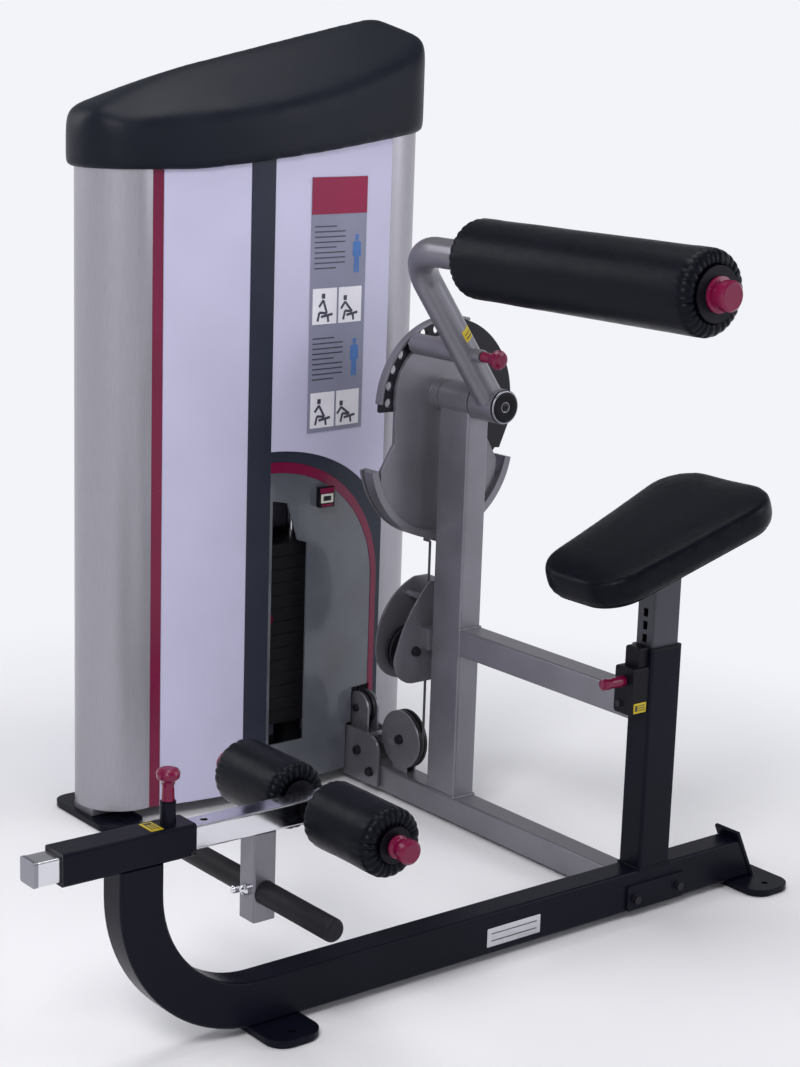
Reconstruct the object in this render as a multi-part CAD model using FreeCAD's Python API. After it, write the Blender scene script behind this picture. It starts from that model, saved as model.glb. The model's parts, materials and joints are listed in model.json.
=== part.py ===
import FreeCAD, Part
import math
import os

V = FreeCAD.Vector

# Layout frame: +X along the floor rail towards the user's back, +Y towards the weight tower,
# +Z up from the floor. The seat upright stands at X = Y = 0.
# Every part is shifted at the end so that the origin is under the middle of the machine.
ORIGIN_X = -443.5
ORIGIN_Y = 353.25

# Floor parts
RUBBER_T = 3.0
FOOT_T = 10.0
FOOT_TOP = RUBBER_T + FOOT_T
FOOT_W = 90.0
FOOT_L = 184.0
FOOT_CORNER = 32.0
ANCHOR_R = 6.0
ANCHOR_SPACING = 130.0
J_FOOT_X = -773.0
REAR_FOOT_X = 235.0
TOWER_FOOT_Y = 885.0
TOWER_FOOT_L = 204.0
TOWER_FOOT_X = (-533.0, 105.0)

# Black floor rail with its upswept front bend
RAIL_W = 50.0
RAIL_H = 70.0
RAIL_WALL = 3.0
RAIL_Z0 = FOOT_TOP
RAIL_TOP = RAIL_Z0 + RAIL_H
RAIL_END_X = 241.0
END_SLOPE = math.radians(26.0)
BEND_X = -797.0
BEND_R_OUT = 240.0
BEND_R_IN = BEND_R_OUT - RAIL_H
BEND_Z = RAIL_Z0 + BEND_R_OUT

# Foot-roller slide
SLEEVE_X = (-1126.0, -915.0)
SLEEVE_Z = (299.5, 347.5)
SLEEVE_WALL = 4.0
LINER_L = 22.0
SLIDE_X = (-1161.0, -676.0)
SLIDE_HALF = 19.0
SLIDE_Z = (306.0, 341.0)
FOOT_PIN_X = -947.0
FOOT_AXLE_X = -696.0
FOOT_AXLE_Z = 323.5
FOOT_AXLE_R = 9.5
FOOT_ROLLER_R = 52.0
FOOT_ROLLER_Y = (36.0, 193.0)
DROP_X = -793.0
DROP_Z0 = 172.0
FOOT_BAR_Z = 216.0
FOOT_BAR_R = 17.5
FOOT_BAR_HALF = 189.0

# Seat
UPRIGHT_X = 35.0
UPRIGHT_Y = 25.0
UPRIGHT_TOP = 460.0
POST_X = 30.0
POST_Y = 20.0
POST_Z0 = 270.0
SEAT_NOSE = V(-195.0, 0.0, 554.0)
SEAT_TILT = math.radians(19.2)
SEAT_L = 388.0
SEAT_T = 56.0
SEAT_HALF_NOSE = 95.0
SEAT_HALF_BACK = 134.0
LEVER_Z = 412.0

# Gray frame
GRAY_HALF = 24.0
BEAM_Z = (8.0, 56.0)
MAST_Y = (472.0, 552.0)
BRACE_Z = (329.0, 379.0)
BEAM_END_Y = 740.0

# Press arm and cam, turning about Y
PIVOT_Z = 797.0
PIVOT_R = 31.0
SHAFT_R = 15.0
RUN_GAP = 0.05
BEARING_R = 21.95
ARM_Y = 435.0
ARM_R = 25.4
ARM_WALL = 3.0
ROLLER_X = -200.0
ROLLER_Z = 1079.0
ARM_BEND_R = 75.0
ROLLER_Y = (-270.0, 265.0)
ROLLER_R = 66.0
ROLLER_BORE = 26.0
CAM_Y = 575.0
CAM_T = 8.0
CAM_ARC_Z = 696.0
CAM_ARC_R = 166.0
DISC_X = 18.0
DISC_Z = 778.0
DISC_R = 154.0
DISC_Y = 584.0
DISC_T = 8.0
INDEX_R = 117.0
INDEX_STEP = math.radians(15.0)

# Cables and pulleys
CABLE_R = 2.5
GROOVE_GAP = 0.3
PULLEY_LIP = 4.0
PULLEY_W = 16.0
AXLE_R = 6.0
STRAND_Y = 595.0
PULLEY_R = 41.0
FAIRLEAD_X = 46.0
FAIRLEAD_Z = 318.0
LOWER_R = 52.0
LOWER_PULLEY = (STRAND_Y + LOWER_R, 120.0, LOWER_R)
TOWER_PULLEY = (784.0, 147.0, 28.0)
GUARD_Y = (571.0, 615.0)
GUARD_T = 4.0
HEAD_R = 52.0
HEAD_Z = 1120.0
RUN_START_Z = 340.0
CABLE_TOP = 517.4

# Weight tower
COLUMN_R = 82.0
COLUMN_WALL = 3.0
COLUMN_Y = 885.0
COLUMN_X = (-490.0, 62.0)
FRONT_X = (-475.0, 47.0)
TOWER_X = -214.0
FRONT_SAG = 28.0
FRONT_Y = 775.0
TOWER_Z0 = 28.0
TRAY_Y = (828.0, 955.0)
SKIN_T = 4.0
STACK_X = TOWER_X
STACK_Y = COLUMN_Y
PLATE_HALF_X = 160.0
PLATE_HALF_Y = 57.0
PLATE_T = 24.6
PLATE_PITCH = 25.4
STACK_Z0 = 130.4
RESTING = 8
LIFTED = 6
CABLE_WINDOW = (-38.0, 38.0, 28.0, 118.0)
PULLEY_WINDOW = (-24.0, 24.0, 118.0, 188.0)
ROD_SPACING = 210.0
CAP_CREASE_Z = 1352.0
CAP_CREASE_SLOPE = 0.17
CAP_RIDGE_Z = 1466.1
CAP_RIDGE_SLOPE = 0.2305
ROD_R = 12.5
STEM_R = 11.0


def box(x0, x1, y0, y1, z0, z1):
    return Part.makeBox(x1 - x0, y1 - y0, z1 - z0, V(x0, y0, z0))


def along(axis):
    return {"X": V(1, 0, 0), "Y": V(0, 1, 0), "Z": V(0, 0, 1)}[axis]


def rod(axis, start, r, length):
    return Part.makeCylinder(r, length, start, along(axis))


def ring(axis, start, r_out, r_in, length):
    return rod(axis, start, r_out, length).cut(rod(axis, start, r_in, length))


def bar(axis, x, y, z, corner):
    """A box whose edges along one axis are rounded."""
    solid = box(x[0], x[1], y[0], y[1], z[0], z[1])
    direction = along(axis)
    edges = []
    for edge in solid.Edges:
        run = edge.Vertexes[1].Point.sub(edge.Vertexes[0].Point)
        if run.cross(direction).Length < 1e-6:
            edges.append(edge)
    return solid.makeFillet(corner, edges)


def tube(axis, x, y, z, wall, corner):
    """A rectangular tube, open at both ends."""
    inner = []
    for name, span in (("X", x), ("Y", y), ("Z", z)):
        grow = 1.0 if name == axis else -wall
        inner.append((span[0] - grow, span[1] + grow))
    return bar(axis, x, y, z, corner).cut(bar(axis, inner[0], inner[1], inner[2], corner - wall + 1.0))


def fuse(shapes):
    return shapes[0].multiFuse(shapes[1:]).removeSplitter()


def group(shapes):
    return Part.makeCompound(shapes)


def prism(points, axis, start, length):
    """A polygon, given in the two other axes, extruded along one axis."""
    if axis == "X":
        corners = [V(start, a, b) for a, b in points]
    elif axis == "Y":
        corners = [V(a, start, b) for a, b in points]
    else:
        corners = [V(a, b, start) for a, b in points]
    face = Part.Face(Part.makePolygon(corners + corners[:1]))
    return face.extrude(along(axis) * length)


def wire_prism(edges, move):
    return Part.Face(Part.Wire(edges)).extrude(move)


def line(a, b):
    return Part.LineSegment(a, b).toShape()


def arc(a, b, c):
    return Part.Arc(a, b, c).toShape()


def hexagon(across, axis, start, length):
    points = []
    for k in range(6):
        turn = math.radians(60.0 * k)
        points.append((across / math.sqrt(3.0) * math.cos(turn), across / math.sqrt(3.0) * math.sin(turn)))
    head = prism(points, axis, 0.0, length)
    head.translate(start)
    return head


def bolt_head(axis, start, across, length):
    """Washer and hexagon head standing out along an axis, or against it for a negative length."""
    direction = along(axis) * math.copysign(1.0, length)
    washer = Part.makeCylinder(across * 0.62, 1.5, start, direction)
    low = start if length > 0 else start + direction * abs(length)
    return fuse([washer, hexagon(across, axis, low, abs(length))])


def rounded_plate(x, y, z, corner):
    return bar("Z", x, y, z, corner)


def knob(axis, start, sign, profile):
    """A turned knob: (distance, radius) pairs revolved about an axis."""
    points = [V(profile[0][0], 0, 0)]
    points += [V(d, r, 0) for d, r in profile]
    points.append(V(profile[-1][0], 0, 0))
    face = Part.Face(Part.makePolygon(points + points[:1]))
    solid = face.revolve(V(0, 0, 0), V(1, 0, 0), 360.0)
    solid.Placement = FreeCAD.Placement(start, FreeCAD.Rotation(V(1, 0, 0), along(axis) * sign))
    return solid


# ---------------------------------------------------------------- floor frame

def foot_plate(x, y, length):
    plate = rounded_plate((x - FOOT_W / 2, x + FOOT_W / 2), (y - length / 2, y + length / 2),
                          (RUBBER_T, FOOT_TOP), FOOT_CORNER)
    for side in (-1, 1):
        hole_y = y + side * (length - FOOT_L + ANCHOR_SPACING) / 2
        plate = plate.cut(rod("Z", V(x, hole_y, 0), ANCHOR_R, FOOT_TOP + 1))
    return plate


def foot_places():
    places = [(J_FOOT_X, 0.0, FOOT_L), (REAR_FOOT_X, 0.0, FOOT_L)]
    places += [(x, TOWER_FOOT_Y, TOWER_FOOT_L) for x in TOWER_FOOT_X]
    return places


def floor_feet():
    return group([foot_plate(x, y, length) for x, y, length in foot_places()])


def foot_rubbers():
    pads = []
    for x, y, length in foot_places():
        half_y = length / 2 - 3
        pad = rounded_plate((x - FOOT_W / 2 + 3, x + FOOT_W / 2 - 3), (y - half_y, y + half_y),
                            (0.0, RUBBER_T), FOOT_CORNER - 3)
        for side in (-1, 1):
            hole_y = y + side * (length - FOOT_L + ANCHOR_SPACING) / 2
            pad = pad.cut(rod("Z", V(x, hole_y, -1), ANCHOR_R + 2, RUBBER_T + 2))
        pads.append(pad)
    return group(pads)


def rail_profile(inset, half, over):
    """The rail's side outline, set in by the wall, extruded over its width."""
    low = RAIL_Z0 + inset
    high = RAIL_TOP - inset
    r_out = BEND_R_OUT - inset
    r_in = BEND_R_IN + inset
    top = SLEEVE_Z[0] + over
    c45 = math.sqrt(0.5)
    end_low = RAIL_END_X - (low - RAIL_Z0) * math.tan(END_SLOPE) + over
    end_high = RAIL_END_X - (high - RAIL_Z0) * math.tan(END_SLOPE) + over
    y = -half
    outer_mid = V(BEND_X - r_out * c45, y, BEND_Z - r_out * c45)
    inner_mid = V(BEND_X - r_in * c45, y, BEND_Z - r_in * c45)
    edges = [
        line(V(end_low, y, low), V(BEND_X, y, low)),
        arc(V(BEND_X, y, low), outer_mid, V(BEND_X - r_out, y, BEND_Z)),
        line(V(BEND_X - r_out, y, BEND_Z), V(BEND_X - r_out, y, top)),
        line(V(BEND_X - r_out, y, top), V(BEND_X - r_in, y, top)),
        line(V(BEND_X - r_in, y, top), V(BEND_X - r_in, y, BEND_Z)),
        arc(V(BEND_X - r_in, y, BEND_Z), inner_mid, V(BEND_X, y, high)),
        line(V(BEND_X, y, high), V(end_high, y, high)),
        line(V(end_high, y, high), V(end_low, y, low)),
    ]
    solid = wire_prism(edges, V(0, 2 * half, 0))
    long_edges = []
    for edge in solid.Edges:
        a = edge.Vertexes[0].Point
        b = edge.Vertexes[-1].Point
        at_side = abs(abs(a.y) - half) < 1e-6 and abs(a.y - b.y) < 1e-6
        at_top = abs(a.z - top) < 1e-6 and abs(b.z - top) < 1e-6
        at_end = min(a.x, b.x) > BEND_X + 100.0
        if at_side and not at_top and not at_end:
            long_edges.append(edge)
    return solid.makeFillet(5.0 if inset == 0 else 2.5, long_edges)


def rail_tube():
    outer = rail_profile(0.0, RAIL_W / 2, 0.0)
    return outer.cut(rail_profile(RAIL_WALL, RAIL_W / 2 - RAIL_WALL, 1.0))


def rear_end_plate():
    thick = 6.0
    top_z = 98.0
    top_x = RAIL_END_X - (top_z - RAIL_Z0) * math.tan(END_SLOPE)
    dx = thick * math.cos(END_SLOPE)
    dz = thick * math.sin(END_SLOPE)
    points = [(RAIL_END_X, RAIL_Z0), (RAIL_END_X + thick / math.cos(END_SLOPE), RAIL_Z0),
              (top_x + dx, top_z + dz), (top_x, top_z)]
    return prism(points, "Y", -27.0, 54.0)


def splice_plate():
    plate = bar("Y", (-62.0, 71.0), (-RAIL_W / 2 - 4.0, -RAIL_W / 2), (16.0, 60.0), 4.0)
    return plate


def main_rail():
    return fuse([rail_tube(), rear_end_plate(), splice_plate()])


def foot_sleeve():
    sleeve = tube("X", SLEEVE_X, (-RAIL_W / 2, RAIL_W / 2), SLEEVE_Z, SLEEVE_WALL, 5.0)
    boss = rod("Z", V(FOOT_PIN_X, 0, SLEEVE_Z[1]), 11.5, 33.0)
    hole = rod("Z", V(FOOT_PIN_X, 0, SLEEVE_Z[0] + 20.0), 6.0, 90.0)
    return fuse([sleeve, boss]).cut(hole)


def guide_bushings():
    rings = []
    gap = 0.3
    for x0, x1 in ((SLEEVE_X[0], SLEEVE_X[0] + LINER_L), (SLEEVE_X[1] - LINER_L, SLEEVE_X[1])):
        outer = box(x0, x1, -RAIL_W / 2 + SLEEVE_WALL, RAIL_W / 2 - SLEEVE_WALL,
                    SLEEVE_Z[0] + SLEEVE_WALL, SLEEVE_Z[1] - SLEEVE_WALL)
        inner = box(x0 - 1, x1 + 1, -SLIDE_HALF - gap, SLIDE_HALF + gap, SLIDE_Z[0] - gap, SLIDE_Z[1] + gap)
        rings.append(bar_like(outer).cut(inner))
    sleeve = box(-UPRIGHT_X + 3.0, UPRIGHT_X - 3.0, -UPRIGHT_Y + 3.0, UPRIGHT_Y - 3.0, UPRIGHT_TOP - 30.0,
                 UPRIGHT_TOP)
    lip = bar("Z", (-UPRIGHT_X, UPRIGHT_X), (-UPRIGHT_Y, UPRIGHT_Y), (UPRIGHT_TOP, UPRIGHT_TOP + 5.0), 5.0)
    bore = box(-POST_X - gap, POST_X + gap, -POST_Y - gap, POST_Y + gap, UPRIGHT_TOP - 40.0, UPRIGHT_TOP + 10.0)
    rings.append(fuse([bar_like(sleeve), lip]).cut(bore))
    return rings


def bar_like(solid):
    """Takes the corners off a liner so that it seats inside a tube's rounded corners."""
    b = solid.BoundBox
    along_tube = "X" if abs(b.XLength - LINER_L) < 1e-6 else "Z"
    return bar(along_tube, (b.XMin, b.XMax), (b.YMin, b.YMax), (b.ZMin, b.ZMax), 3.3)


# ---------------------------------------------------------------- foot-roller slide

def slide_tube():
    solid = tube("X", SLIDE_X, (-SLIDE_HALF, SLIDE_HALF), SLIDE_Z, 2.5, 3.0)
    solid = solid.cut(rod("Y", V(FOOT_AXLE_X, -40, FOOT_AXLE_Z), FOOT_AXLE_R + RUN_GAP, 80))
    for k in range(8):
        solid = solid.cut(rod("Z", V(FOOT_PIN_X - 150.0 + 30.0 * k, 0, SLIDE_Z[1] - 6.0), 5.5, 12.0))
    return solid


def slide_end_cap():
    face = bar("X", (SLIDE_X[0] - 6.0, SLIDE_X[0]), (-SLIDE_HALF - 0.5, SLIDE_HALF + 0.5),
               (SLIDE_Z[0] - 0.5, SLIDE_Z[1] + 0.5), 3.5)
    plug = bar("X", (SLIDE_X[0], SLIDE_X[0] + 14.0), (-SLIDE_HALF + 2.7, SLIDE_HALF - 2.7),
               (SLIDE_Z[0] + 2.7, SLIDE_Z[1] - 2.7), 2.0)
    tail = box(SLIDE_X[1], SLIDE_X[1] + 3.0, -SLIDE_HALF, SLIDE_HALF, SLIDE_Z[0], SLIDE_Z[1])
    return group([fuse([face, plug]), tail])


def foot_axle():
    reach = FOOT_ROLLER_Y[1] + 12.0
    return rod("Y", V(FOOT_AXLE_X, -reach, FOOT_AXLE_Z), FOOT_AXLE_R, 2 * reach)


def foot_roller_core(side):
    length = FOOT_ROLLER_Y[1] - FOOT_ROLLER_Y[0]
    start = FOOT_ROLLER_Y[0] if side > 0 else -FOOT_ROLLER_Y[1]
    place = V(FOOT_AXLE_X, start, FOOT_AXLE_Z)
    sleeve = rod("Y", place, 13.0, length)
    ends = [rod("Y", V(FOOT_AXLE_X, y, FOOT_AXLE_Z), 27.0, 2.5) for y in (start - 2.5, start + length)]
    bore = rod("Y", place - V(0, 10, 0), FOOT_AXLE_R + 0.1, length + 20)
    return fuse([sleeve] + ends).cut(bore)


def foot_roller_pad(side):
    length = FOOT_ROLLER_Y[1] - FOOT_ROLLER_Y[0]
    start = FOOT_ROLLER_Y[0] if side > 0 else -FOOT_ROLLER_Y[1]
    place = V(FOOT_AXLE_X, start, FOOT_AXLE_Z)
    pad = rod("Y", place, FOOT_ROLLER_R, length)
    pad = pad.makeFillet(12.0, [e for e in pad.Edges if e.Curve.TypeId == "Part::GeomCircle"])
    return pad.cut(rod("Y", place - V(0, 1, 0), 13.3, length + 2))


def foot_knobs():
    profile = [(0, 15), (3, 17), (6, 17), (9, 13), (18, 13), (22, 18), (32, 18), (36, 14)]
    start = FOOT_ROLLER_Y[1] + 3.5
    knobs = []
    for side in (-1, 1):
        turned = knob("Y", V(FOOT_AXLE_X, side * start, FOOT_AXLE_Z), side, profile)
        knobs.append(turned.cut(foot_axle()))
    return group(knobs)


def drop_tube():
    half = 19.0
    solid = tube("Z", (DROP_X - half, DROP_X + half), (-half, half), (DROP_Z0, SLIDE_Z[0]), 2.5, 3.0)
    return solid.cut(rod("Y", V(DROP_X, -30, FOOT_BAR_Z), FOOT_BAR_R, 60))


def foot_bar():
    solid = rod("Y", V(DROP_X, -FOOT_BAR_HALF, FOOT_BAR_Z), FOOT_BAR_R - 0.02, 2 * FOOT_BAR_HALF)
    return solid.makeFillet(7.0, [e for e in solid.Edges if e.Curve.TypeId == "Part::GeomCircle"])


def slide_fittings():
    """The rollers' axle, and the domed nut and thumb knob that clamp the foot bar."""
    face_x = DROP_X - 19.0
    nut = knob("X", V(face_x, -2.0, FOOT_BAR_Z + 4.0), -1, [(0, 8.5), (5, 8.5), (9, 6.8), (12, 3.0)])
    thumb = knob("X", V(face_x, 13.0, FOOT_BAR_Z + 1.0), -1, [(0, 3.5), (6, 3.5), (7, 6.0), (15, 6.0), (17, 4.5)])
    return group([foot_axle(), nut, thumb])


def plunger_knob(axis, start, sign, reach, pin_r):
    """Spring plunger: pin, neck and mushroom grip. The pin runs back from the start point."""
    profile = [(-reach, pin_r), (0, pin_r), (0.01, 9.5), (20, 8.5), (28, 10.5), (33, 16.0), (40, 17.0), (45, 14.5),
               (47, 9.0)]
    return knob(axis, start, sign, profile)


def foot_plunger():
    rest = SLEEVE_Z[1] + 34.0
    return plunger_knob("Z", V(FOOT_PIN_X, 0, rest), 1, rest - SLIDE_Z[1] - 0.5, 5.0)


# ---------------------------------------------------------------- seat

def seat_upright():
    post = tube("Z", (-UPRIGHT_X, UPRIGHT_X), (-UPRIGHT_Y, UPRIGHT_Y), (RAIL_TOP, UPRIGHT_TOP), 3.0, 5.0)
    return post.cut(rod("X", V(-UPRIGHT_X - 5, 0, LEVER_Z), 6.5, 12))


def height_housing():
    gap = UPRIGHT_X
    body = bar("X", (-gap - 36.0, -gap), (-21.0, 21.0), (356.0, 436.0), 6.0)
    cap = bar("X", (-gap - 20.0, -gap), (-16.0, 16.0), (425.0, 468.0), 6.0)
    solid = fuse([body, cap])
    return solid.cut(rod("X", V(-gap - 60.0, 0, LEVER_Z), 6.5, 80))


def seat_local(shape):
    """Lays a part drawn flat (length along X from the nose, underside at Z = 0) on the seat's slope."""
    shape.Placement = FreeCAD.Placement(SEAT_NOSE, FreeCAD.Rotation(V(0, 1, 0), -math.degrees(SEAT_TILT)))
    return shape


def seat_outline(z):
    r_nose = 78.0
    r_back = 72.0
    slope = math.atan2(SEAT_HALF_BACK - SEAT_HALF_NOSE, SEAT_L)
    rise = math.tan(slope)
    edges = []
    half = {}
    for side in (-1, 1):
        nose_y = SEAT_HALF_NOSE + r_nose * rise - r_nose
        back_y = SEAT_HALF_BACK - r_back * rise - r_back
        out = V(-math.sin(slope), side * math.cos(slope), 0)
        nose_c = V(r_nose, side * nose_y, z)
        back_c = V(SEAT_L - r_back, side * back_y, z)
        corner_nose = V(-1, side, 0).normalize()
        corner_back = V(1, side, 0).normalize()
        nose_tip = nose_c + V(-r_nose, 0, 0)
        nose_side = nose_c + out * r_nose
        back_side = back_c + out * r_back
        back_tip = back_c + V(r_back, 0, 0)
        edges.append(arc(nose_tip, nose_c + corner_nose * r_nose, nose_side))
        edges.append(line(nose_side, back_side))
        edges.append(arc(back_side, back_c + corner_back * r_back, back_tip))
        half[side] = (nose_tip, back_tip)
    edges.append(line(half[-1][0], half[1][0]))
    edges.append(line(half[-1][1], half[1][1]))
    return Part.Wire(Part.__sortEdges__(edges))


def seat_pad():
    solid = Part.Face(seat_outline(0.4)).extrude(V(0, 0, SEAT_T))
    top = [e for e in solid.Edges if min(v.Z for v in e.Vertexes) > SEAT_T - 1]
    solid = solid.makeFillet(14.0, top)
    return seat_local(solid)


def seat_post():
    post = tube("Z", (-POST_X, POST_X), (-POST_Y, POST_Y), (POST_Z0, SEAT_NOSE.z + 120.0), 3.0, 4.0)
    above = seat_local(box(-50.0, SEAT_L, -60.0, 60.0, -6.0, 200.0))
    post = post.cut(above)
    centre = -SEAT_NOSE.x / math.cos(SEAT_TILT)
    plate = rounded_plate((centre - 95.0, centre + 95.0), (-45.0, 45.0), (-6.0, 0.0), 12.0)
    for dx in (-75.0, 75.0):
        for dy in (-30.0, 30.0):
            plate = plate.cut(rod("Z", V(centre + dx, dy, -7.0), 4.5, 8.0))
    solid = fuse([post, seat_local(plate)])
    for k in range(11):
        z = LEVER_Z - 110.0 + 22.0 * k
        solid = solid.cut(box(-POST_X - 1, -POST_X + 6, -5.0, 5.0, z - 7.0, z + 7.0))
    return solid


def seat_lever():
    start = V(-UPRIGHT_X - 38.0, 0, LEVER_Z)
    profile = [(-43.5 + 1.0, 5.8), (0, 5.8), (0.01, 9.0), (8, 9.5), (30, 8.5), (40, 10.0), (46, 9.0), (48, 5.0)]
    return knob("X", start, -1, profile)


# ---------------------------------------------------------------- gray frame

def lower_beam():
    return tube("Y", (-GRAY_HALF, GRAY_HALF), (RAIL_W / 2, BEAM_END_Y), BEAM_Z, 3.0, 4.0)


def mast_post():
    post = tube("Z", (-GRAY_HALF, GRAY_HALF), MAST_Y, (BEAM_Z[1], PIVOT_Z), 3.0, 4.0)
    return post.cut(rod("Y", V(0, MAST_Y[0] - 5, PIVOT_Z), PIVOT_R, 100))


def cross_brace():
    return tube("Y", (-GRAY_HALF, GRAY_HALF), (UPRIGHT_Y, MAST_Y[0]), BRACE_Z, 3.0, 4.0)


def pivot_housing():
    return ring("Y", V(0, MAST_Y[0], PIVOT_Z), PIVOT_R, BEARING_R + 0.05, MAST_Y[1] - MAST_Y[0])


def mast():
    return fuse([mast_post(), pivot_housing()])


def pivot_bearings():
    rings = []
    for y in (MAST_Y[0] + 1.0, MAST_Y[1] - 14.0):
        rings.append(ring("Y", V(0, y, PIVOT_Z), BEARING_R, SHAFT_R + RUN_GAP, 13.0))
    return rings


def bushings():
    """Plastic liners of the foot slide and the seat post, and the pivot's two bearings."""
    return group(guide_bushings() + pivot_bearings())


def tower_bracket():
    """Two cheeks with a rounded front corner that carry the beam's end into the tower."""
    cheeks = []
    y0 = 690.0
    top = 112.0
    corner = 30.0
    for x in (-33.0, 27.0):
        edges = [
            line(V(x, y0, BEAM_Z[0] + 6.0), V(x, y0, top - corner)),
            arc(V(x, y0, top - corner), V(x, y0 + corner * (1 - math.sqrt(0.5)), top - corner * (1 - math.sqrt(0.5))),
                V(x, y0 + corner, top)),
            line(V(x, y0 + corner, top), V(x, TRAY_Y[0], top)),
            line(V(x, TRAY_Y[0], top), V(x, TRAY_Y[0], BEAM_Z[0] + 6.0)),
            line(V(x, TRAY_Y[0], BEAM_Z[0] + 6.0), V(x, y0, BEAM_Z[0] + 6.0)),
        ]
        cheeks.append(wire_prism(edges, V(6.0, 0, 0)))
    web = box(-27.0, 27.0, BEAM_END_Y, BEAM_END_Y + 5.0, BEAM_Z[0] + 6.0, 58.0)
    spacers = [box(-27.0, -GRAY_HALF, y0 + 5.0, BEAM_END_Y, 16.0, 50.0),
               box(GRAY_HALF, 27.0, y0 + 5.0, BEAM_END_Y, 16.0, 50.0)]
    shelf = box(-27.0, 27.0, y0 + corner, y0 + corner + 12.0, top - 5.0, top)
    return fuse(cheeks + [web, shelf] + spacers)


def cheek(x, centre, r, foot_z):
    """A cheek plate with a round top, standing beside a pulley."""
    y, z = centre
    edges = [
        line(V(x, y - r, foot_z), V(x, y - r, z)),
        arc(V(x, y - r, z), V(x, y, z + r), V(x, y + r, z)),
        line(V(x, y + r, z), V(x, y + r, foot_z)),
        line(V(x, y + r, foot_z), V(x, y - r, foot_z)),
    ]
    return wire_prism(edges, V(GUARD_T, 0, 0))


def guard_plate(y, open_side):
    """A rounded guard plate beside the pulleys; its left edge may slant to leave a pulley in view."""
    side = 104.0
    low = 257.0
    top = 448.0
    full = arc(V(-16.0, y, top), V(-78.0, y, 402.0), V(-side, y, 322.0))
    slanted = arc(V(-16.0, y, top), V(-56.0, y, 398.0), V(-side + 14.0, y, 322.0))
    start = V(-side + 14.0, y, 322.0) if open_side else V(-side, y, 322.0)
    edges = [
        slanted if open_side else full,
        arc(start, V(-82.0, y, 272.0), V(-46.0, y, low)),
        line(V(-46.0, y, low), V(46.0, y, low)),
        arc(V(46.0, y, low), V(88.0, y, 276.0), V(side, y, 322.0)),
        arc(V(side, y, 322.0), V(78.0, y, 402.0), V(16.0, y, top)),
        line(V(16.0, y, top), V(-16.0, y, top)),
    ]
    return wire_prism(edges, V(0, GUARD_T, 0))


def fairlead_guard():
    gap = GUARD_Y[1] - GUARD_Y[0] - GUARD_T
    between = GUARD_Y[0] + GUARD_T
    parts = [guard_plate(GUARD_Y[0], True), guard_plate(GUARD_Y[1], False)]
    for side in (-1, 1):
        parts.append(rod("Y", V(side * FAIRLEAD_X, between, FAIRLEAD_Z), AXLE_R, gap))
        parts.append(rod("Y", V(side * 30.0, between, 418.0), AXLE_R, gap))
    parts.append(box(-32.0, 32.0, MAST_Y[1], GUARD_Y[0], 322.0, 362.0))
    return fuse(parts)


def lower_guard():
    y, z, r = LOWER_PULLEY
    disc = rod("X", V(-14.0, y, z), r + PULLEY_LIP, GUARD_T)
    stem = box(-14.0, -10.0, y - 20.0, y + 20.0, BEAM_Z[1], z)
    far = box(10.0, 14.0, y - 16.0, y + 16.0, BEAM_Z[1], z + 18.0)
    axle = rod("X", V(-10.0, y, z), AXLE_R, 20.0)
    return fuse([disc, stem, far, axle])


def tower_guard():
    y, z, r = TOWER_PULLEY
    cheeks = [cheek(x, (y - 2.0, z), 33.0, 100.0) for x in (-14.0, 10.0)]
    feet = [box(-27.0, -10.0, y - 25.0, y + 25.0, 100.0, 106.0), box(10.0, 27.0, y - 25.0, y + 25.0, 100.0, 106.0)]
    axle = rod("X", V(-10.0, y, z), AXLE_R, 20.0)
    return fuse(cheeks + feet + [axle])


def pulley_guards():
    return group([lower_guard(), tower_guard()])


def frame_bolts():
    bolts = []
    for x, z in ((-44.0, 35.0), (56.0, 37.0)):
        bolts.append(bolt_head("Y", V(x, -RAIL_W / 2 - 4.0, z), 13.0, -7.0))
    for side in (-1, 1):
        for y, z in ((752.0, 73.0), (712.0, 40.0)):
            bolts.append(bolt_head("X", V(side * 33.0, y, z), 15.0, side * 8.0))
    for side in (-1, 1):
        bolts.append(bolt_head("Y", V(side * FAIRLEAD_X, GUARD_Y[0], FAIRLEAD_Z), 15.0, -8.0))
    bolts.append(bolt_head("X", V(-14.0, LOWER_PULLEY[0], LOWER_PULLEY[1]), 15.0, -8.0))
    bolts.append(bolt_head("X", V(-14.0, TOWER_PULLEY[0], TOWER_PULLEY[1]), 12.0, -6.0))
    bolts.append(bolt_head("X", V(-UPRIGHT_X - 36.0, 8.0, 372.0), 10.0, -5.0))
    return group(bolts)


# ---------------------------------------------------------------- pulleys and cables

def pulley(axis, centre, pitch_r):
    width = PULLEY_W
    start = centre - along(axis) * (width / 2)
    wheel = rod(axis, start, pitch_r + PULLEY_LIP, width)
    groove_start = centre - along(axis) * (CABLE_R + GROOVE_GAP)
    groove = ring(axis, groove_start, pitch_r + 20, pitch_r - CABLE_R - GROOVE_GAP, 2 * (CABLE_R + GROOVE_GAP))
    wheel = wheel.cut(groove)
    dish_r = pitch_r - 9.0
    dish_depth = 4.0
    for sign in (-1, 1):
        dish_start = centre + along(axis) * (sign * width / 2 - (dish_depth if sign > 0 else 0))
        wheel = wheel.cut(ring(axis, dish_start, dish_r, AXLE_R + 7.0, dish_depth))
    return wheel.cut(rod(axis, start - along(axis) * 2, AXLE_R + RUN_GAP, width + 4))


def pulley_on_x(data):
    return pulley("X", V(0, data[0], data[1]), data[2])


def fairlead_pulley(side):
    return pulley("Y", V(side * FAIRLEAD_X, STRAND_Y, FAIRLEAD_Z), PULLEY_R)


def strand_up():
    """Where the cable climbs inside the tower."""
    return V(0, TOWER_PULLEY[0] + TOWER_PULLEY[2], 0)


def head_line():
    """Level direction from the climbing strand to the strand above the stack."""
    return V(STACK_X, STACK_Y, 0).sub(strand_up())


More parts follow.
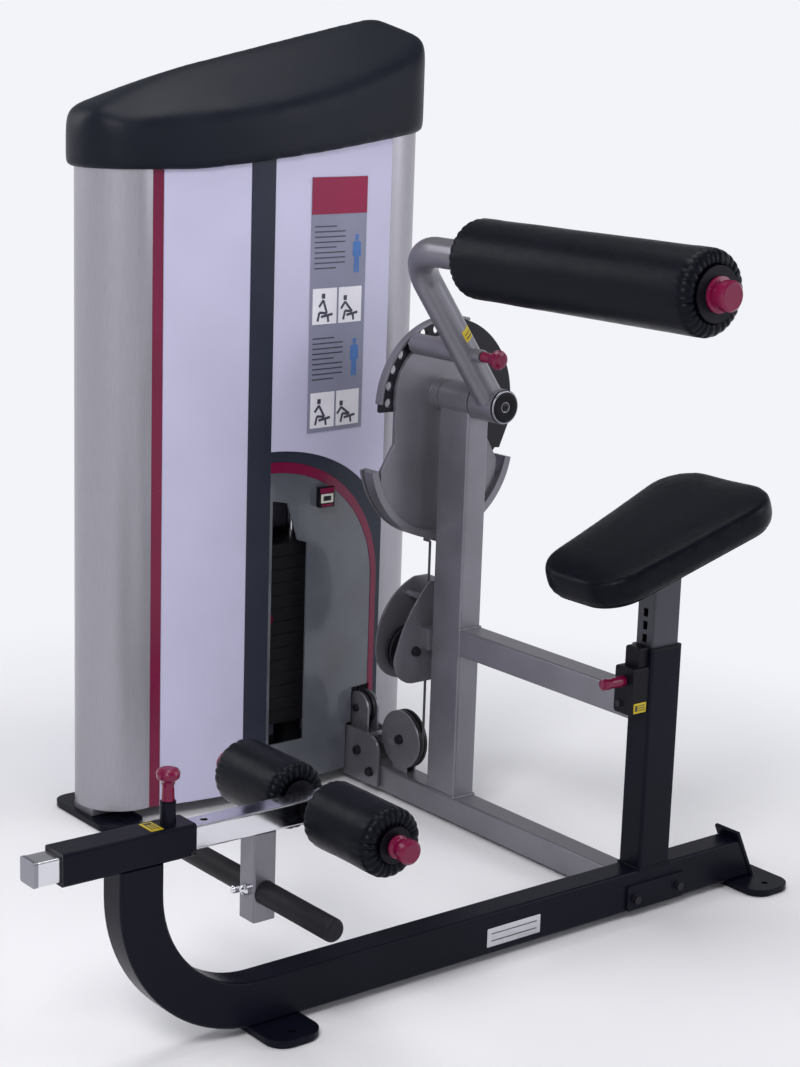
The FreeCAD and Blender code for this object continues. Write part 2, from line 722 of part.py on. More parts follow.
def head_frame_place(shape):
    """Turns a part drawn in the X-Z plane into the head pulleys' slanted plane."""
    d = head_line()
    shape.Placement = FreeCAD.Placement(strand_up(), FreeCAD.Rotation(V(0, 0, 1), math.degrees(math.atan2(d.y, d.x))))
    return shape


def head_centre(which):
    return HEAD_R if which == 1 else head_line().Length - HEAD_R


def head_pulley(which):
    return head_frame_place(pulley("Y", V(head_centre(which), 0, HEAD_Z), HEAD_R))


def drive_cable():
    """Cable under the lower and tower pulleys, up the tower and over the two head pulleys."""
    y1, z1, r1 = LOWER_PULLEY
    y2, z2, r2 = TOWER_PULLEY
    span = math.hypot(y2 - y1, z2 - z1)
    under = math.atan2(z2 - z1, y2 - y1) - math.acos((r1 - r2) / span)

    def on_lower(turn):
        return V(0, y1 + r1 * math.cos(turn), z1 + r1 * math.sin(turn))

    def on_tower(turn):
        return V(0, y2 + r2 * math.cos(turn), z2 + r2 * math.sin(turn))

    d = head_line().normalize()
    up = V(0, 0, 1)
    c45 = math.sqrt(0.5)
    rise = strand_up() + up * HEAD_Z
    fall = V(STACK_X, STACK_Y, HEAD_Z)
    first = rise + d * HEAD_R
    second = fall - d * HEAD_R
    edges = [
        line(V(0, STRAND_Y, RUN_START_Z), on_lower(-math.pi)),
        arc(on_lower(-math.pi), on_lower((under - math.pi) / 2), on_lower(under)),
        line(on_lower(under), on_tower(under)),
        arc(on_tower(under), on_tower(under / 2), on_tower(0.0)),
        line(on_tower(0.0), rise),
        arc(rise, first - d * HEAD_R * c45 + up * HEAD_R * c45, first + up * HEAD_R),
        line(first + up * HEAD_R, second + up * HEAD_R),
        arc(second + up * HEAD_R, second + d * HEAD_R * c45 + up * HEAD_R * c45, fall),
    ]
    start = Part.Wire(Part.makeCircle(CABLE_R, V(0, STRAND_Y, RUN_START_Z), up))
    return Part.Wire(edges).makePipeShell([start], True, False)


def cam_cable():
    """The strand from the cam's fork to the gap between the fairlead pulleys."""
    strand = rod("Z", V(0, STRAND_Y, RUN_START_Z), CABLE_R, CABLE_TOP - RUN_START_Z)
    socket = rod("Z", V(0, STRAND_Y, CABLE_TOP - 22.0), 5.0, 22.0)
    return fuse([strand, socket])


# ---------------------------------------------------------------- press arm and cam

def arm_direction():
    return V(ROLLER_X, 0, ROLLER_Z - PIVOT_Z).normalize()


def plunger_place():
    return V(0, 0, PIVOT_Z) + arm_direction() * INDEX_R


def arm_run(radius, overrun):
    """The press arm's bent tube at one radius: up from the hub, a bend, then along the roller."""
    up = arm_direction()
    across = V(0, -1, 0)
    corner = V(ROLLER_X, ARM_Y, ROLLER_Z)
    bend_in = corner - up * ARM_BEND_R
    bend_out = corner + across * ARM_BEND_R
    start = V(0, ARM_Y, PIVOT_Z)
    leg = Part.makeCylinder(radius, bend_in.sub(start).Length, start, up)
    face = Part.Face(Part.Wire(Part.makeCircle(radius, bend_in, up)))
    elbow = face.revolve(bend_in + across * ARM_BEND_R, up.cross(across), 90.0)
    reach = bend_out.y - ROLLER_Y[0] + 4.0 + overrun
    axle = Part.makeCylinder(radius, reach, bend_out, across)
    return fuse([leg, elbow, axle])


def arm_tube():
    hub = rod("Y", V(0, 407.0, PIVOT_Z), PIVOT_R, 61.0)
    place = plunger_place()
    outrigger = rod("Y", V(place.x, ARM_Y, place.z), 19.0, 570.0 - ARM_Y)
    collar = rod("Y", V(place.x, 388.0, place.z), 12.0, ARM_Y - 388.0)
    solid = fuse([hub, arm_run(ARM_R, 0.0), outrigger, collar])
    core = arm_run(ARM_R - ARM_WALL, 1.0)
    keep = rod("Y", V(0, 400.0, PIVOT_Z), PIVOT_R + 2.0, 80.0)
    keep_pin = rod("Y", V(place.x, 380.0, place.z), 14.0, 120.0)
    solid = solid.cut(core.cut(keep).cut(keep_pin))
    solid = solid.cut(rod("Y", V(0, 400.0, PIVOT_Z), SHAFT_R + RUN_GAP, 80.0))
    return solid.cut(rod("Y", V(place.x, 380.0, place.z), 8.3, 200.0))


def hub_cap():
    cap = rod("Y", V(0, 401.0, PIVOT_Z), PIVOT_R - 1.0, 5.6)
    rim = [e for e in cap.Edges if e.CenterOfMass.y < 401.5 and e.Curve.TypeId == "Part::GeomCircle"]
    cap = cap.makeFillet(2.5, rim)
    return cap.cut(rod("Y", V(0, 400.0, PIVOT_Z), 8.0, 3.0))


def arm_plunger():
    place = plunger_place()
    start = V(place.x, 386.0, place.z)
    return plunger_knob("Y", start, -1, DISC_Y - 0.5 - start.y, 8.0)


def pivot_shaft():
    """The turning shaft and the cap bolted on its outer end."""
    shaft = rod("Y", V(0, 406.0, PIVOT_Z), SHAFT_R, DISC_Y + DISC_T - 406.0)
    return fuse([shaft, hub_cap()])


def cam_body():
    """Gray cam: round head on the shaft, narrow neck, and the lower cable sector."""
    y = CAM_Y
    head_r = 106.0
    neck = 107.0
    horn_x = 136.0
    horn_z = 664.0
    lower_r = CAM_ARC_R - 12.0
    start_z = CAM_ARC_Z - math.sqrt(lower_r ** 2 - horn_x ** 2)
    shoulder_z = PIVOT_Z - 10.0
    edges = [
        line(V(-horn_x, y, start_z), V(-horn_x, y, horn_z)),
        line(V(-horn_x, y, horn_z), V(-neck, y, 712.0)),
        line(V(-neck, y, 712.0), V(-neck, y, shoulder_z)),
        arc(V(-neck, y, shoulder_z), V(0, y, PIVOT_Z + head_r), V(neck, y, shoulder_z)),
        line(V(neck, y, shoulder_z), V(neck, y, 712.0)),
        line(V(neck, y, 712.0), V(horn_x, y, horn_z)),
        line(V(horn_x, y, horn_z), V(horn_x, y, start_z)),
        arc(V(horn_x, y, start_z), V(0, y, CAM_ARC_Z - lower_r), V(-horn_x, y, start_z)),
    ]
    plate = wire_prism(edges, V(0, CAM_T, 0))
    collar = rod("Y", V(0, MAST_Y[1] + 4.0, PIVOT_Z), 30.0, CAM_Y - MAST_Y[1] - 4.0)
    clamp = box(12.0, 38.0, CAM_Y - 12.0, CAM_Y, 548.0, 564.0)
    bolt = hexagon(12.0, "Y", V(25.0, CAM_Y - 18.0, 556.0), 6.0)
    return fuse([plate, cam_rim(), collar, clamp, bolt]).cut(rod("Y", V(0, 500.0, PIVOT_Z), SHAFT_R, 120.0))


def sector(r, y, length, start, end):
    """A pie slice about the cam's lower arc centre, between two angles in degrees."""
    centre = V(0, y, CAM_ARC_Z)
    mid = math.radians((start + end) / 2)
    a = math.radians(start)
    b = math.radians(end)
    p = [centre + V(r * math.cos(t), 0, r * math.sin(t)) for t in (a, mid, b)]
    return wire_prism([line(centre, p[0]), arc(p[0], p[1], p[2]), line(p[2], centre)], V(0, length, 0))


def cam_rim():
    """Cable rim round the cam's lower edge, grooved outside, with a fork for the cable's end."""
    y0 = CAM_Y - 10.0
    depth = 38.0
    outer = sector(CAM_ARC_R, y0, depth, 190.4, 349.6)
    inner = rod("Y", V(0, y0 - 1, CAM_ARC_Z), CAM_ARC_R - 14.0, depth + 2)
    groove = ring("Y", V(0, STRAND_Y - 4.0, CAM_ARC_Z), CAM_ARC_R + 5.0, CAM_ARC_R - 7.0, 8.0)
    low = CAM_ARC_Z - CAM_ARC_R
    prongs = [box(x, x + 4.0, STRAND_Y - 9.0, STRAND_Y + 8.0, low - 12.0, low + 4.0) for x in (-10.0, 6.0)]
    pin = rod("X", V(-10.0, STRAND_Y, low - 5.0 + 0.5), 2.0, 20.0)
    return outer.cut(inner).cut(groove).multiFuse(prongs + [pin]).removeSplitter()


def index_disc():
    """Black index disc behind the cam, with its row of stop holes and a side web."""
    disc = rod("Y", V(DISC_X, DISC_Y, DISC_Z), DISC_R, DISC_T)
    web = prism([(60.0, 690.0), (150.0, 682.0), (171.0, 730.0), (158.0, 760.0), (60.0, 760.0)], "Y", DISC_Y, DISC_T)
    solid = fuse([disc, web])
    keep = box(-200.0, 200.0, DISC_Y - 1, DISC_Y + DISC_T + 1, 655.0, 1000.0)
    below = box(-200.0, -70.0, DISC_Y - 1, DISC_Y + DISC_T + 1, 600.0, 770.0)
    solid = solid.common(keep).cut(below)
    lobe = ring("Y", V(0, DISC_Y - 1, CAM_ARC_Z), 400.0, CAM_ARC_R - 13.0, DISC_T + 2)
    low = box(-200.0, 200.0, DISC_Y - 1, DISC_Y + DISC_T + 1, 600.0, 679.0)
    solid = solid.cut(lobe.common(low))
    base = math.atan2(arm_direction().z, arm_direction().x)
    for k in range(-4, 5):
        turn = base + INDEX_STEP * k
        place = V(INDEX_R * math.cos(turn), DISC_Y - 1, PIVOT_Z + INDEX_R * math.sin(turn))
        solid = solid.cut(rod("Y", place, 8.5, DISC_T + 2))
    return solid.cut(rod("Y", V(0, DISC_Y - 1, PIVOT_Z), SHAFT_R, DISC_T + 2))


def disc_rim():
    """Raised rim welded round the upper part of the index disc."""
    band = ring("Y", V(DISC_X, DISC_Y - 8.0, DISC_Z), DISC_R + 5.0, DISC_R, DISC_T + 8.0)
    return band.common(box(-200.0, 60.0, 500.0, 700.0, DISC_Z + 8.0, 1000.0))


def cam_plate():
    return group([cam_body(), disc_rim()])


def roller_core():
    length = ROLLER_Y[1] - ROLLER_Y[0]
    place = V(ROLLER_X, ROLLER_Y[0], ROLLER_Z)
    sleeve = rod("Y", place, 30.0, length)
    ends = [rod("Y", V(ROLLER_X, y, ROLLER_Z), 42.0, 3.0) for y in (ROLLER_Y[0] - 3.0, ROLLER_Y[1])]
    return fuse([sleeve] + ends).cut(rod("Y", place - V(0, 5, 0), ROLLER_BORE, length + 10))


def chest_roller():
    length = ROLLER_Y[1] - ROLLER_Y[0]
    place = V(ROLLER_X, ROLLER_Y[0], ROLLER_Z)
    pad = rod("Y", place, ROLLER_R, length)
    pad = pad.makeFillet(14.0, [e for e in pad.Edges if e.Curve.TypeId == "Part::GeomCircle"])
    return pad.cut(rod("Y", place - V(0, 1, 0), 30.3, length + 2))


def roller_knob():
    start = V(ROLLER_X, ROLLER_Y[0] - 4.5, ROLLER_Z)
    profile = [(0, 27), (4, 27), (6, 19), (11, 19), (14, 23), (25, 23), (28, 19.5)]
    return knob("Y", start, -1, profile)


# ---------------------------------------------------------------- weight tower

def front_radius():
    half = (FRONT_X[1] - FRONT_X[0]) / 2
    return (half ** 2 + FRONT_SAG ** 2) / (2 * FRONT_SAG)


def front_shell(set_back, thick):
    """The bowed front skin's full sheet; set_back moves it into the tower."""
    r = front_radius()
    centre = V(TOWER_X, FRONT_Y + r, 0)
    outer = Part.makeCylinder(r - set_back, 1300.0, centre)
    inner = Part.makeCylinder(r - set_back - thick, 1300.0, centre)
    return outer.cut(inner).common(box(-600.0, 200.0, 700.0, 860.0, 0.0, 1300.0))


def skin(face_solid, set_back, thick):
    return front_shell(set_back, thick).common(face_solid)


def tall(x0, x1, z0, z1):
    return box(x0, x1, 700.0, 860.0, z0, z1)


def arch_area(half_x, half_z, centre_z):
    """Everything under a quarter-ellipse arch that springs from the smoked strip's edge."""
    centre = V(STRIP_X[1], 700.0, centre_z)
    major = max(half_x, half_z)
    minor = min(half_x, half_z)
    ellipse = Part.Ellipse(centre, major, minor)
    ellipse.Axis = V(0, -1, 0)
    ellipse.XAxis = V(1, 0, 0) if half_x >= half_z else V(0, 0, 1)
    face = Part.Face(Part.Wire(ellipse.toShape()))
    area = face.extrude(V(0, 160.0, 0)).fuse(tall(STRIP_X[1] - 1.0, STRIP_X[1] + half_x, 0.0, centre_z))
    return area.common(tall(STRIP_X[1], FRONT_X[1], TOWER_Z0, 1300.0))


STRIP_X = (-287.0, -237.0)
OUTER_ARCH = (292.0, 214.0, 462.0)
BAND_OUTER = (272.0, 256.0, 400.0)
BAND_INNER = (257.0, 236.0, 400.0)


def cable_window():
    return tall(*CABLE_WINDOW).fuse(tall(*PULLEY_WINDOW))


def left_panel_skin():
    return skin(tall(-455.0, STRIP_X[0], TOWER_Z0, 1200.0), 0.0, SKIN_T)


def smoked_strip():
    return skin(tall(STRIP_X[0], STRIP_X[1], TOWER_Z0, 1210.0), -1.0, SKIN_T)


def upper_right_panel():
    sheet = skin(tall(STRIP_X[1], FRONT_X[1], 440.0, 1240.0), 0.0, SKIN_T)
    return sheet.cut(arch_area(*OUTER_ARCH))


def arch_border():
    area = arch_area(*OUTER_ARCH).cut(arch_area(*BAND_OUTER))
    return skin(area, 0.5, SKIN_T).cut(cable_window())


def front_panels():
    return group([left_panel_skin(), upper_right_panel()])


def slate_trims():
    return group([smoked_strip(), arch_border()])


def crimson_trims():
    stripe = skin(tall(FRONT_X[0] + 0.2, -455.0, TOWER_Z0, 1200.0), 2.0, SKIN_T)
    band = skin(arch_area(*BAND_OUTER).cut(arch_area(*BAND_INNER)), -0.5, SKIN_T)
    return group([stripe, band.cut(cable_window())])


def arch_shield():
    window = prism([(-230.0, 583.0), (-196.0, 576.0), (-171.0, 503.0), (-148.0, 496.0), (-148.0, 110.0),
                    (-230.0, 110.0)], "Y", 700.0, 160.0)
    return skin(arch_area(*BAND_INNER), 0.5, SKIN_T).cut(window).cut(cable_window())


def rep_counter():
    body = box(-131.0, -97.0, 764.0, 774.5, 562.0, 600.0)
    return body


def side_columns():
    columns = []
    for x, flat, sign, top in ((COLUMN_X[0], FRONT_X[0], -1, 1200.0), (COLUMN_X[1], FRONT_X[1], 1, 1262.0)):
        outer = rod("Z", V(x, COLUMN_Y, TOWER_Z0), COLUMN_R, top - TOWER_Z0)
        inner = rod("Z", V(x, COLUMN_Y, TOWER_Z0 - 1), COLUMN_R - COLUMN_WALL, top - TOWER_Z0 + 2)
        side = box(flat - 200.0, flat, 700.0, 1100.0, 0.0, 1300.0) if sign < 0 else box(
            flat, flat + 200.0, 700.0, 1100.0, 0.0, 1300.0)
        columns.append(outer.cut(inner).common(side))
    return group(columns)


def back_panel():
    sheet = skin(tall(FRONT_X[0], FRONT_X[1], TOWER_Z0, 1195.0), 0.0, SKIN_T)
    return sheet.mirror(V(0, COLUMN_Y, 0), V(0, 1, 0))


def tower_base():
    cross = bar("X", (-566.0, 138.0), (852.0, 918.0), (FOOT_TOP, TOWER_Z0), 3.0)
    tray = box(-468.0, 40.0, TRAY_Y[0], TRAY_Y[1], TOWER_Z0, TOWER_Z0 + 30.0)
    return fuse([cross, tray])


def guide_rods():
    return group([rod("Z", V(STACK_X + side * ROD_SPACING / 2, STACK_Y, TOWER_Z0 + 30.0), ROD_R, 1020.0)
                  for side in (-1, 1)])


def stack_cushions():
    pads = []
    for side in (-1, 1):
        place = V(STACK_X + side * ROD_SPACING / 2, STACK_Y, TOWER_Z0 + 30.0)
        pads.append(ring("Z", place, 26.0, ROD_R + 0.3, STACK_Z0 - TOWER_Z0 - 30.0))
    return group(pads)


def weight_plate(z, index_hole):
    plate = bar("Z", (STACK_X - PLATE_HALF_X, STACK_X + PLATE_HALF_X),
                (STACK_Y - PLATE_HALF_Y, STACK_Y + PLATE_HALF_Y), (z, z + PLATE_T), 8.0)
    for dx in (-ROD_SPACING / 2, ROD_SPACING / 2):
        plate = plate.cut(rod("Z", V(STACK_X + dx, STACK_Y, z - 1), ROD_R + 0.4, PLATE_T + 2))
    plate = plate.cut(rod("Z", V(STACK_X, STACK_Y, z - 1), STEM_R + 0.6, PLATE_T + 2))
    if index_hole:
        hole = rod("Y", V(STACK_X, STACK_Y - PLATE_HALF_Y - 1, z + PLATE_T / 2), 5.6, PLATE_HALF_Y)
        plate = plate.cut(hole)
    return plate


def resting_plates():
    return group([weight_plate(STACK_Z0 + PLATE_PITCH * k, True) for k in range(RESTING)])


def lift_z():
    return STACK_Z0 + PLATE_PITCH * RESTING + 0.4


def lifted_plates():
    plates = [weight_plate(lift_z() + PLATE_PITCH * k, True) for k in range(LIFTED)]
    return group(plates)


def selector_top():
    return lift_z() + PLATE_PITCH * LIFTED + 28.0


def selector_stem():
    top = selector_top() - 28.0
    stem = rod("Z", V(STACK_X, STACK_Y, STACK_Z0 + 3.0), STEM_R, selector_top() - STACK_Z0 - 3.0)
    for k in range(RESTING + LIFTED):
        z = STACK_Z0 + PLATE_PITCH * k + PLATE_T / 2
        stem = stem.cut(rod("Y", V(STACK_X, STACK_Y - 20, z), 5.6, 40))
    collar = rod("Z", V(STACK_X, STACK_Y, top), 20.0, 8.0)
    return fuse([stem, collar])


def selector_pin():
    z = lift_z() + PLATE_T / 2
    profile = [(-62.0, 5.0), (0, 5.0), (0.01, 8.0), (6, 8.0), (8, 12.5), (19, 12.5), (22, 9.0)]
    return knob("Y", V(STACK_X, STACK_Y - PLATE_HALF_Y - 1.0, z), -1, profile)


def stack_cable():
    low = selector_top() + 0.3
    return rod("Z", V(STACK_X, STACK_Y, low), CABLE_R, HEAD_Z - low - 0.5)


def head_frame():
    plate = box(-468.0, 40.0, 850.0, 920.0, 1046.0, 1054.0)
    for side in (-1, 1):
        plate = plate.cut(rod("Z", V(STACK_X + side * ROD_SPACING / 2, STACK_Y, 1045.0), ROD_R, 10.0))
    plate = plate.cut(rod("Z", V(STACK_X, STACK_Y, 1045.0), 9.0, 10.0))
    saddle = box(25.0, head_line().Length - 30.0, -14.0, 14.0, 1054.0, 1058.0)
    cheeks = [box(25.0, head_line().Length - 30.0, y, y + GUARD_T, 1058.0, 1150.0) for y in (-14.0, 10.0)]
    axles = [rod("Y", V(head_centre(k), -10.0, HEAD_Z), AXLE_R, 20.0) for k in (1, 2)]
    return fuse([plate, head_frame_place(fuse([saddle] + cheeks + axles))])


def tower_frame():
    """Base of the tower and the head frame that carries the top pulleys."""
    return group([tower_base(), head_frame()])


def cap_outline(inset, lift):
    """The cap's side outline: stepped lower edge, and a roof that climbs to its peak at the right."""
    y = 700.0
    left = -587.0 + inset
    right = 160.0 - inset
    low = 1188.0 - lift
    slope_end = V(right, y, 1251.0 - lift)
    points = [
        V(left, y, 1262.0 - inset), V(left + 8.0, y, 1282.0 - inset), V(left + 30.0, y, 1297.0 - inset),
        V(-372.0, y, 1365.0 - inset), V(-112.0, y, 1431.0 - inset), V(40.0, y, 1462.0 - inset),
        V(66.0, y, 1459.0 - inset), V(139.0, y, 1427.0 - inset), V(right, y, 1402.0 - inset),
    ]
    roof = Part.BSplineCurve()
    roof.interpolate(points[2:6])
    edges = [
        line(V(left, y, low), points[0]),
        arc(points[0], points[1], points[2]),
        roof.toShape(),
        line(points[5], points[6]),
        line(points[6], points[7]),
        line(points[7], points[8]),
        line(points[8], slope_end),
    ]
    lower = Part.BSplineCurve()
    lower.interpolate([slope_end, V(34.0, y, 1244.0 - lift), V(-111.0, y, 1222.0 - lift),
                       V(-252.0, y, 1204.0 - lift), V(-400.0, y, low + 1.0)])
    edges.append(lower.toShape())
    edges.append(line(V(-400.0, y, low + 1.0), V(left, y, low)))
    return wire_prism(edges, V(0, 400.0, 0))


def cap_plan(inset):
    """The cap's plan: the tower's rounded ends and bowed long sides, a little larger."""
    grow = 14.0 - inset
    left = COLUMN_X[0]
    right = COLUMN_X[1]
    r = COLUMN_R + grow
    mid = COLUMN_Y - FRONT_Y + grow
    edges = [
        arc(V(left, COLUMN_Y + r, 1100), V(left - r, COLUMN_Y, 1100), V(left, COLUMN_Y - r, 1100)),
        arc(V(left, COLUMN_Y - r, 1100), V(TOWER_X, COLUMN_Y - mid, 1100), V(right, COLUMN_Y - r, 1100)),
        arc(V(right, COLUMN_Y - r, 1100), V(right + r, COLUMN_Y, 1100), V(right, COLUMN_Y + r, 1100)),
        arc(V(right, COLUMN_Y + r, 1100), V(TOWER_X, COLUMN_Y + mid, 1100), V(left, COLUMN_Y + r, 1100)),
    ]
    return wire_prism(edges, V(0, 0, 400.0))


def cap_roof(inset):
    """Two slightly twisted faces that climb from the long sides' creases to the ridge."""
    front_y = 766.0
    back_y = 2 * COLUMN_Y - front_y
    wedges = []
    for side_y in (front_y, back_y):
        corners = []
        for x in (-700.0, 300.0):
            z_side = CAP_CREASE_Z + CAP_CREASE_SLOPE * (x - 56.0) - inset * 1.2
            z_mid = CAP_RIDGE_Z + CAP_RIDGE_SLOPE * (x - 56.0) - inset * 1.2
            away = side_y + (side_y - COLUMN_Y) * 0.5
            z_away = z_side - (z_mid - z_side) * 0.5
            corners.append([V(x, away, 900.0), V(x, away, z_away), V(x, COLUMN_Y, z_mid), V(x, COLUMN_Y, 900.0)])
        first = Part.makePolygon(corners[0] + corners[0][:1])
        last = Part.makePolygon(corners[1] + corners[1][:1])
        wedges.append(Part.makeLoft([first, last], True, True))
    return fuse(wedges)


def cap_body(inset, lift):
    return cap_outline(inset, lift).common(cap_plan(inset)).common(cap_roof(inset))


def tower_cap():
    return cap_body(0.0, 0.0).cut(cap_body(4.0, 30.0))


PARTS = {
    "main_rail": main_rail,
    "floor_feet": floor_feet,
    "foot_rubbers": foot_rubbers,
    "foot_sleeve": foot_sleeve,
    "bushings": bushings,
    "seat_upright": seat_upright,
    "height_housing": height_housing,
    "lower_beam": lower_beam,
    "mast": mast,
    "cross_brace": cross_brace,
    "tower_bracket": tower_bracket,
    "fairlead_guard": fairlead_guard,
    "pulley_guards": pulley_guards,
    "frame_bolts": frame_bolts,
    "drive_cable": drive_cable,
    "cam_cable": cam_cable,
    "tower_frame": tower_frame,
    "side_columns": side_columns,
    "front_panels": front_panels,
    "slate_trims": slate_trims,
    "crimson_trims": crimson_trims,
    "arch_shield": arch_shield,
    "rep_counter": rep_counter,
    "back_panel": back_panel,
    "tower_cap": tower_cap,
    "guide_rods": guide_rods,
    "stack_cushions": stack_cushions,
    "resting_plates": resting_plates,
    "lifted_plates": lifted_plates,
    "selector_stem": selector_stem,
    "selector_pin": selector_pin,
    "stack_cable": stack_cable,
    "fairlead_left": lambda: fairlead_pulley(-1),
    "fairlead_right": lambda: fairlead_pulley(1),
    "lower_pulley": lambda: pulley_on_x(LOWER_PULLEY),
    "tower_pulley": lambda: pulley_on_x(TOWER_PULLEY),
    "head_pulley_1": lambda: head_pulley(1),
    "head_pulley_2": lambda: head_pulley(2),
    "pivot_shaft": pivot_shaft,
    "cam_plate": cam_plate,
    "index_disc": index_disc,
    "arm_tube": arm_tube,
    "arm_plunger": arm_plunger,
    "roller_core": roller_core,
    "chest_roller": chest_roller,
    "roller_knob": roller_knob,
    "slide_tube": slide_tube,
    "slide_end_cap": slide_end_cap,
    "slide_fittings": slide_fittings,
    "foot_knobs": foot_knobs,
    "drop_tube": drop_tube,
    "foot_bar": foot_bar,
    "foot_plunger": foot_plunger,
    "seat_post": seat_post,
    "seat_pad": seat_pad,
    "seat_lever": seat_lever,
    "foot_core_near": lambda: foot_roller_core(-1),
    "foot_core_far": lambda: foot_roller_core(1),
    "foot_roller_near": lambda: foot_roller_pad(-1),
    "foot_roller_far": lambda: foot_roller_pad(1),
}


def main():
    os.makedirs("parts", exist_ok=True)
    for name, make in PARTS.items():
        shape = make()
        shape.translate(V(-ORIGIN_X, -ORIGIN_Y, 0))
        shape.exportStep("parts/" + name + ".step")
        print(name, len(shape.Solids), round(shape.Volume / 1000.0, 2), shape.isValid(), shape.BoundBox)


main()
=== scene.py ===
import bpy
import bmesh
import json
import math
import random
from mathutils import Matrix, Vector, noise


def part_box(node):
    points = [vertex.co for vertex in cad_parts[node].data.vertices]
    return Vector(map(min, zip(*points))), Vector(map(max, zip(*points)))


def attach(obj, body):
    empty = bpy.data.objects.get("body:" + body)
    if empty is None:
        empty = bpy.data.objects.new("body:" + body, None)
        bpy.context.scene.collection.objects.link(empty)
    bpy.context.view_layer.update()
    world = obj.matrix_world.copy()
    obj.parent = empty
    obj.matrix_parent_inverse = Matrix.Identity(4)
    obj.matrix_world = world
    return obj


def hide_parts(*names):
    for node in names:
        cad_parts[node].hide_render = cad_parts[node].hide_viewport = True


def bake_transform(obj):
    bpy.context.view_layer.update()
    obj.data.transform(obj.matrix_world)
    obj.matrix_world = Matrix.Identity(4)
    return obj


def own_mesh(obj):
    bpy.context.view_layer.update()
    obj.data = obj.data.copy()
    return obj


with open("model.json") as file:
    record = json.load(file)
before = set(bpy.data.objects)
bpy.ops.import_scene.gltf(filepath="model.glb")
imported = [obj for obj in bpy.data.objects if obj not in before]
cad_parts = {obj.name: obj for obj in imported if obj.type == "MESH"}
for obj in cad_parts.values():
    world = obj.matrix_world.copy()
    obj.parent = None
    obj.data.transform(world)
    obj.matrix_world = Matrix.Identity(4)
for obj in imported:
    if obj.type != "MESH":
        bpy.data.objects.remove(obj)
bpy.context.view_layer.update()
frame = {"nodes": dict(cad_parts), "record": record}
NODES = frame["nodes"]
scene = bpy.context.scene

# The CAD's layout frame has its origin under the seat upright; this shift takes it to the row frame.
SHIFT = Vector((0.4435, -0.35325, 0.0))


def place(x, y, z):
    """A point given in the layout frame in millimetres, in the row frame in metres."""
    return Vector((x, y, z)) / 1000.0 + SHIFT


# ---------------------------------------------------------------- camera, light, floor

CAM_LENS = 72.71
CAM_AZ = math.radians(-38.77)
CAM_EL = math.radians(12.88)
CAM_ROLL = math.radians(1.886)
CAM_SPOT = (-2477.5, -2399.87, 1418.4)


def make_camera():
    data = bpy.data.cameras.new("camera")
    data.lens = CAM_LENS
    data.sensor_width = 36.0
    data.clip_end = 60.0
    cam = bpy.data.objects.new("camera", data)
    scene.collection.objects.link(cam)
    forward = Vector((-math.sin(CAM_AZ) * math.cos(CAM_EL),
                      math.cos(CAM_AZ) * math.cos(CAM_EL),
                      -math.sin(CAM_EL)))
    level = Vector((math.cos(CAM_AZ), math.sin(CAM_AZ), 0.0))
    upright = level.cross(forward)
    right = level * math.cos(CAM_ROLL) + upright * math.sin(CAM_ROLL)
    up = upright * math.cos(CAM_ROLL) - level * math.sin(CAM_ROLL)
    turn = Matrix((right, up, -forward)).transposed().to_4x4()
    cam.matrix_world = Matrix.Translation(place(*CAM_SPOT)) @ turn
    scene.camera = cam
    scene.view_settings.view_transform = "Standard"


def area_light(name, where, aim, size, power, color):
    data = bpy.data.lights.new(name, "AREA")
    data.shape = "RECTANGLE"
    data.size = size[0]
    data.size_y = size[1]
    data.energy = power
    data.color = color
    lamp = bpy.data.objects.new(name, data)
    scene.collection.objects.link(lamp)
    lamp.location = where
    lamp.rotation_euler = (Vector(aim) - Vector(where)).to_track_quat("-Z", "Y").to_euler()


def make_studio():
    """Surroundings that are bright near the horizon and dim overhead, four lamps and a white floor."""
    world = bpy.data.worlds.new("studio")
    scene.world = world
    world.use_nodes = True
    back = world.node_tree.nodes["Background"]
    back.inputs["Color"].default_value = (0.94, 0.95, 1.0, 1.0)
    coords = world.node_tree.nodes.new("ShaderNodeTexCoord")
    split = world.node_tree.nodes.new("ShaderNodeSeparateXYZ")
    band = world.node_tree.nodes.new("ShaderNodeMapRange")
    band.inputs["From Min"].default_value = 0.04
    band.inputs["From Max"].default_value = 0.34
    band.inputs["To Min"].default_value = 0.95
    band.inputs["To Max"].default_value = 0.3
    world.node_tree.links.new(coords.outputs["Generated"], split.inputs["Vector"])
    world.node_tree.links.new(split.outputs["Z"], band.inputs["Value"])
    world.node_tree.links.new(band.outputs["Result"], back.inputs["Strength"])
    area_light("key", (-2.6, -2.2, 3.2), (0.0, 0.0, 0.6), (1.4, 1.2), 84.0, (1.0, 0.98, 0.99))
    area_light("fill", (2.6, -2.4, 2.0), (0.1, 0.0, 0.6), (1.5, 1.8), 26.0, (0.94, 0.95, 1.0))
    area_light("top", (0.2, 0.2, 3.6), (0.0, 0.1, 0.5), (1.8, 1.8), 40.0, (1.0, 1.0, 1.0))
    area_light("rim", (-1.8, 2.8, 2.4), (0.0, 0.2, 0.8), (1.6, 1.8), 30.0, (0.95, 0.96, 1.0))
    bpy.ops.mesh.primitive_plane_add(size=40.0, location=(0.0, 0.0, -0.0005))
    floor = bpy.context.object
    floor.name = "studio_floor"
    floor.data.materials.append(floor_material())


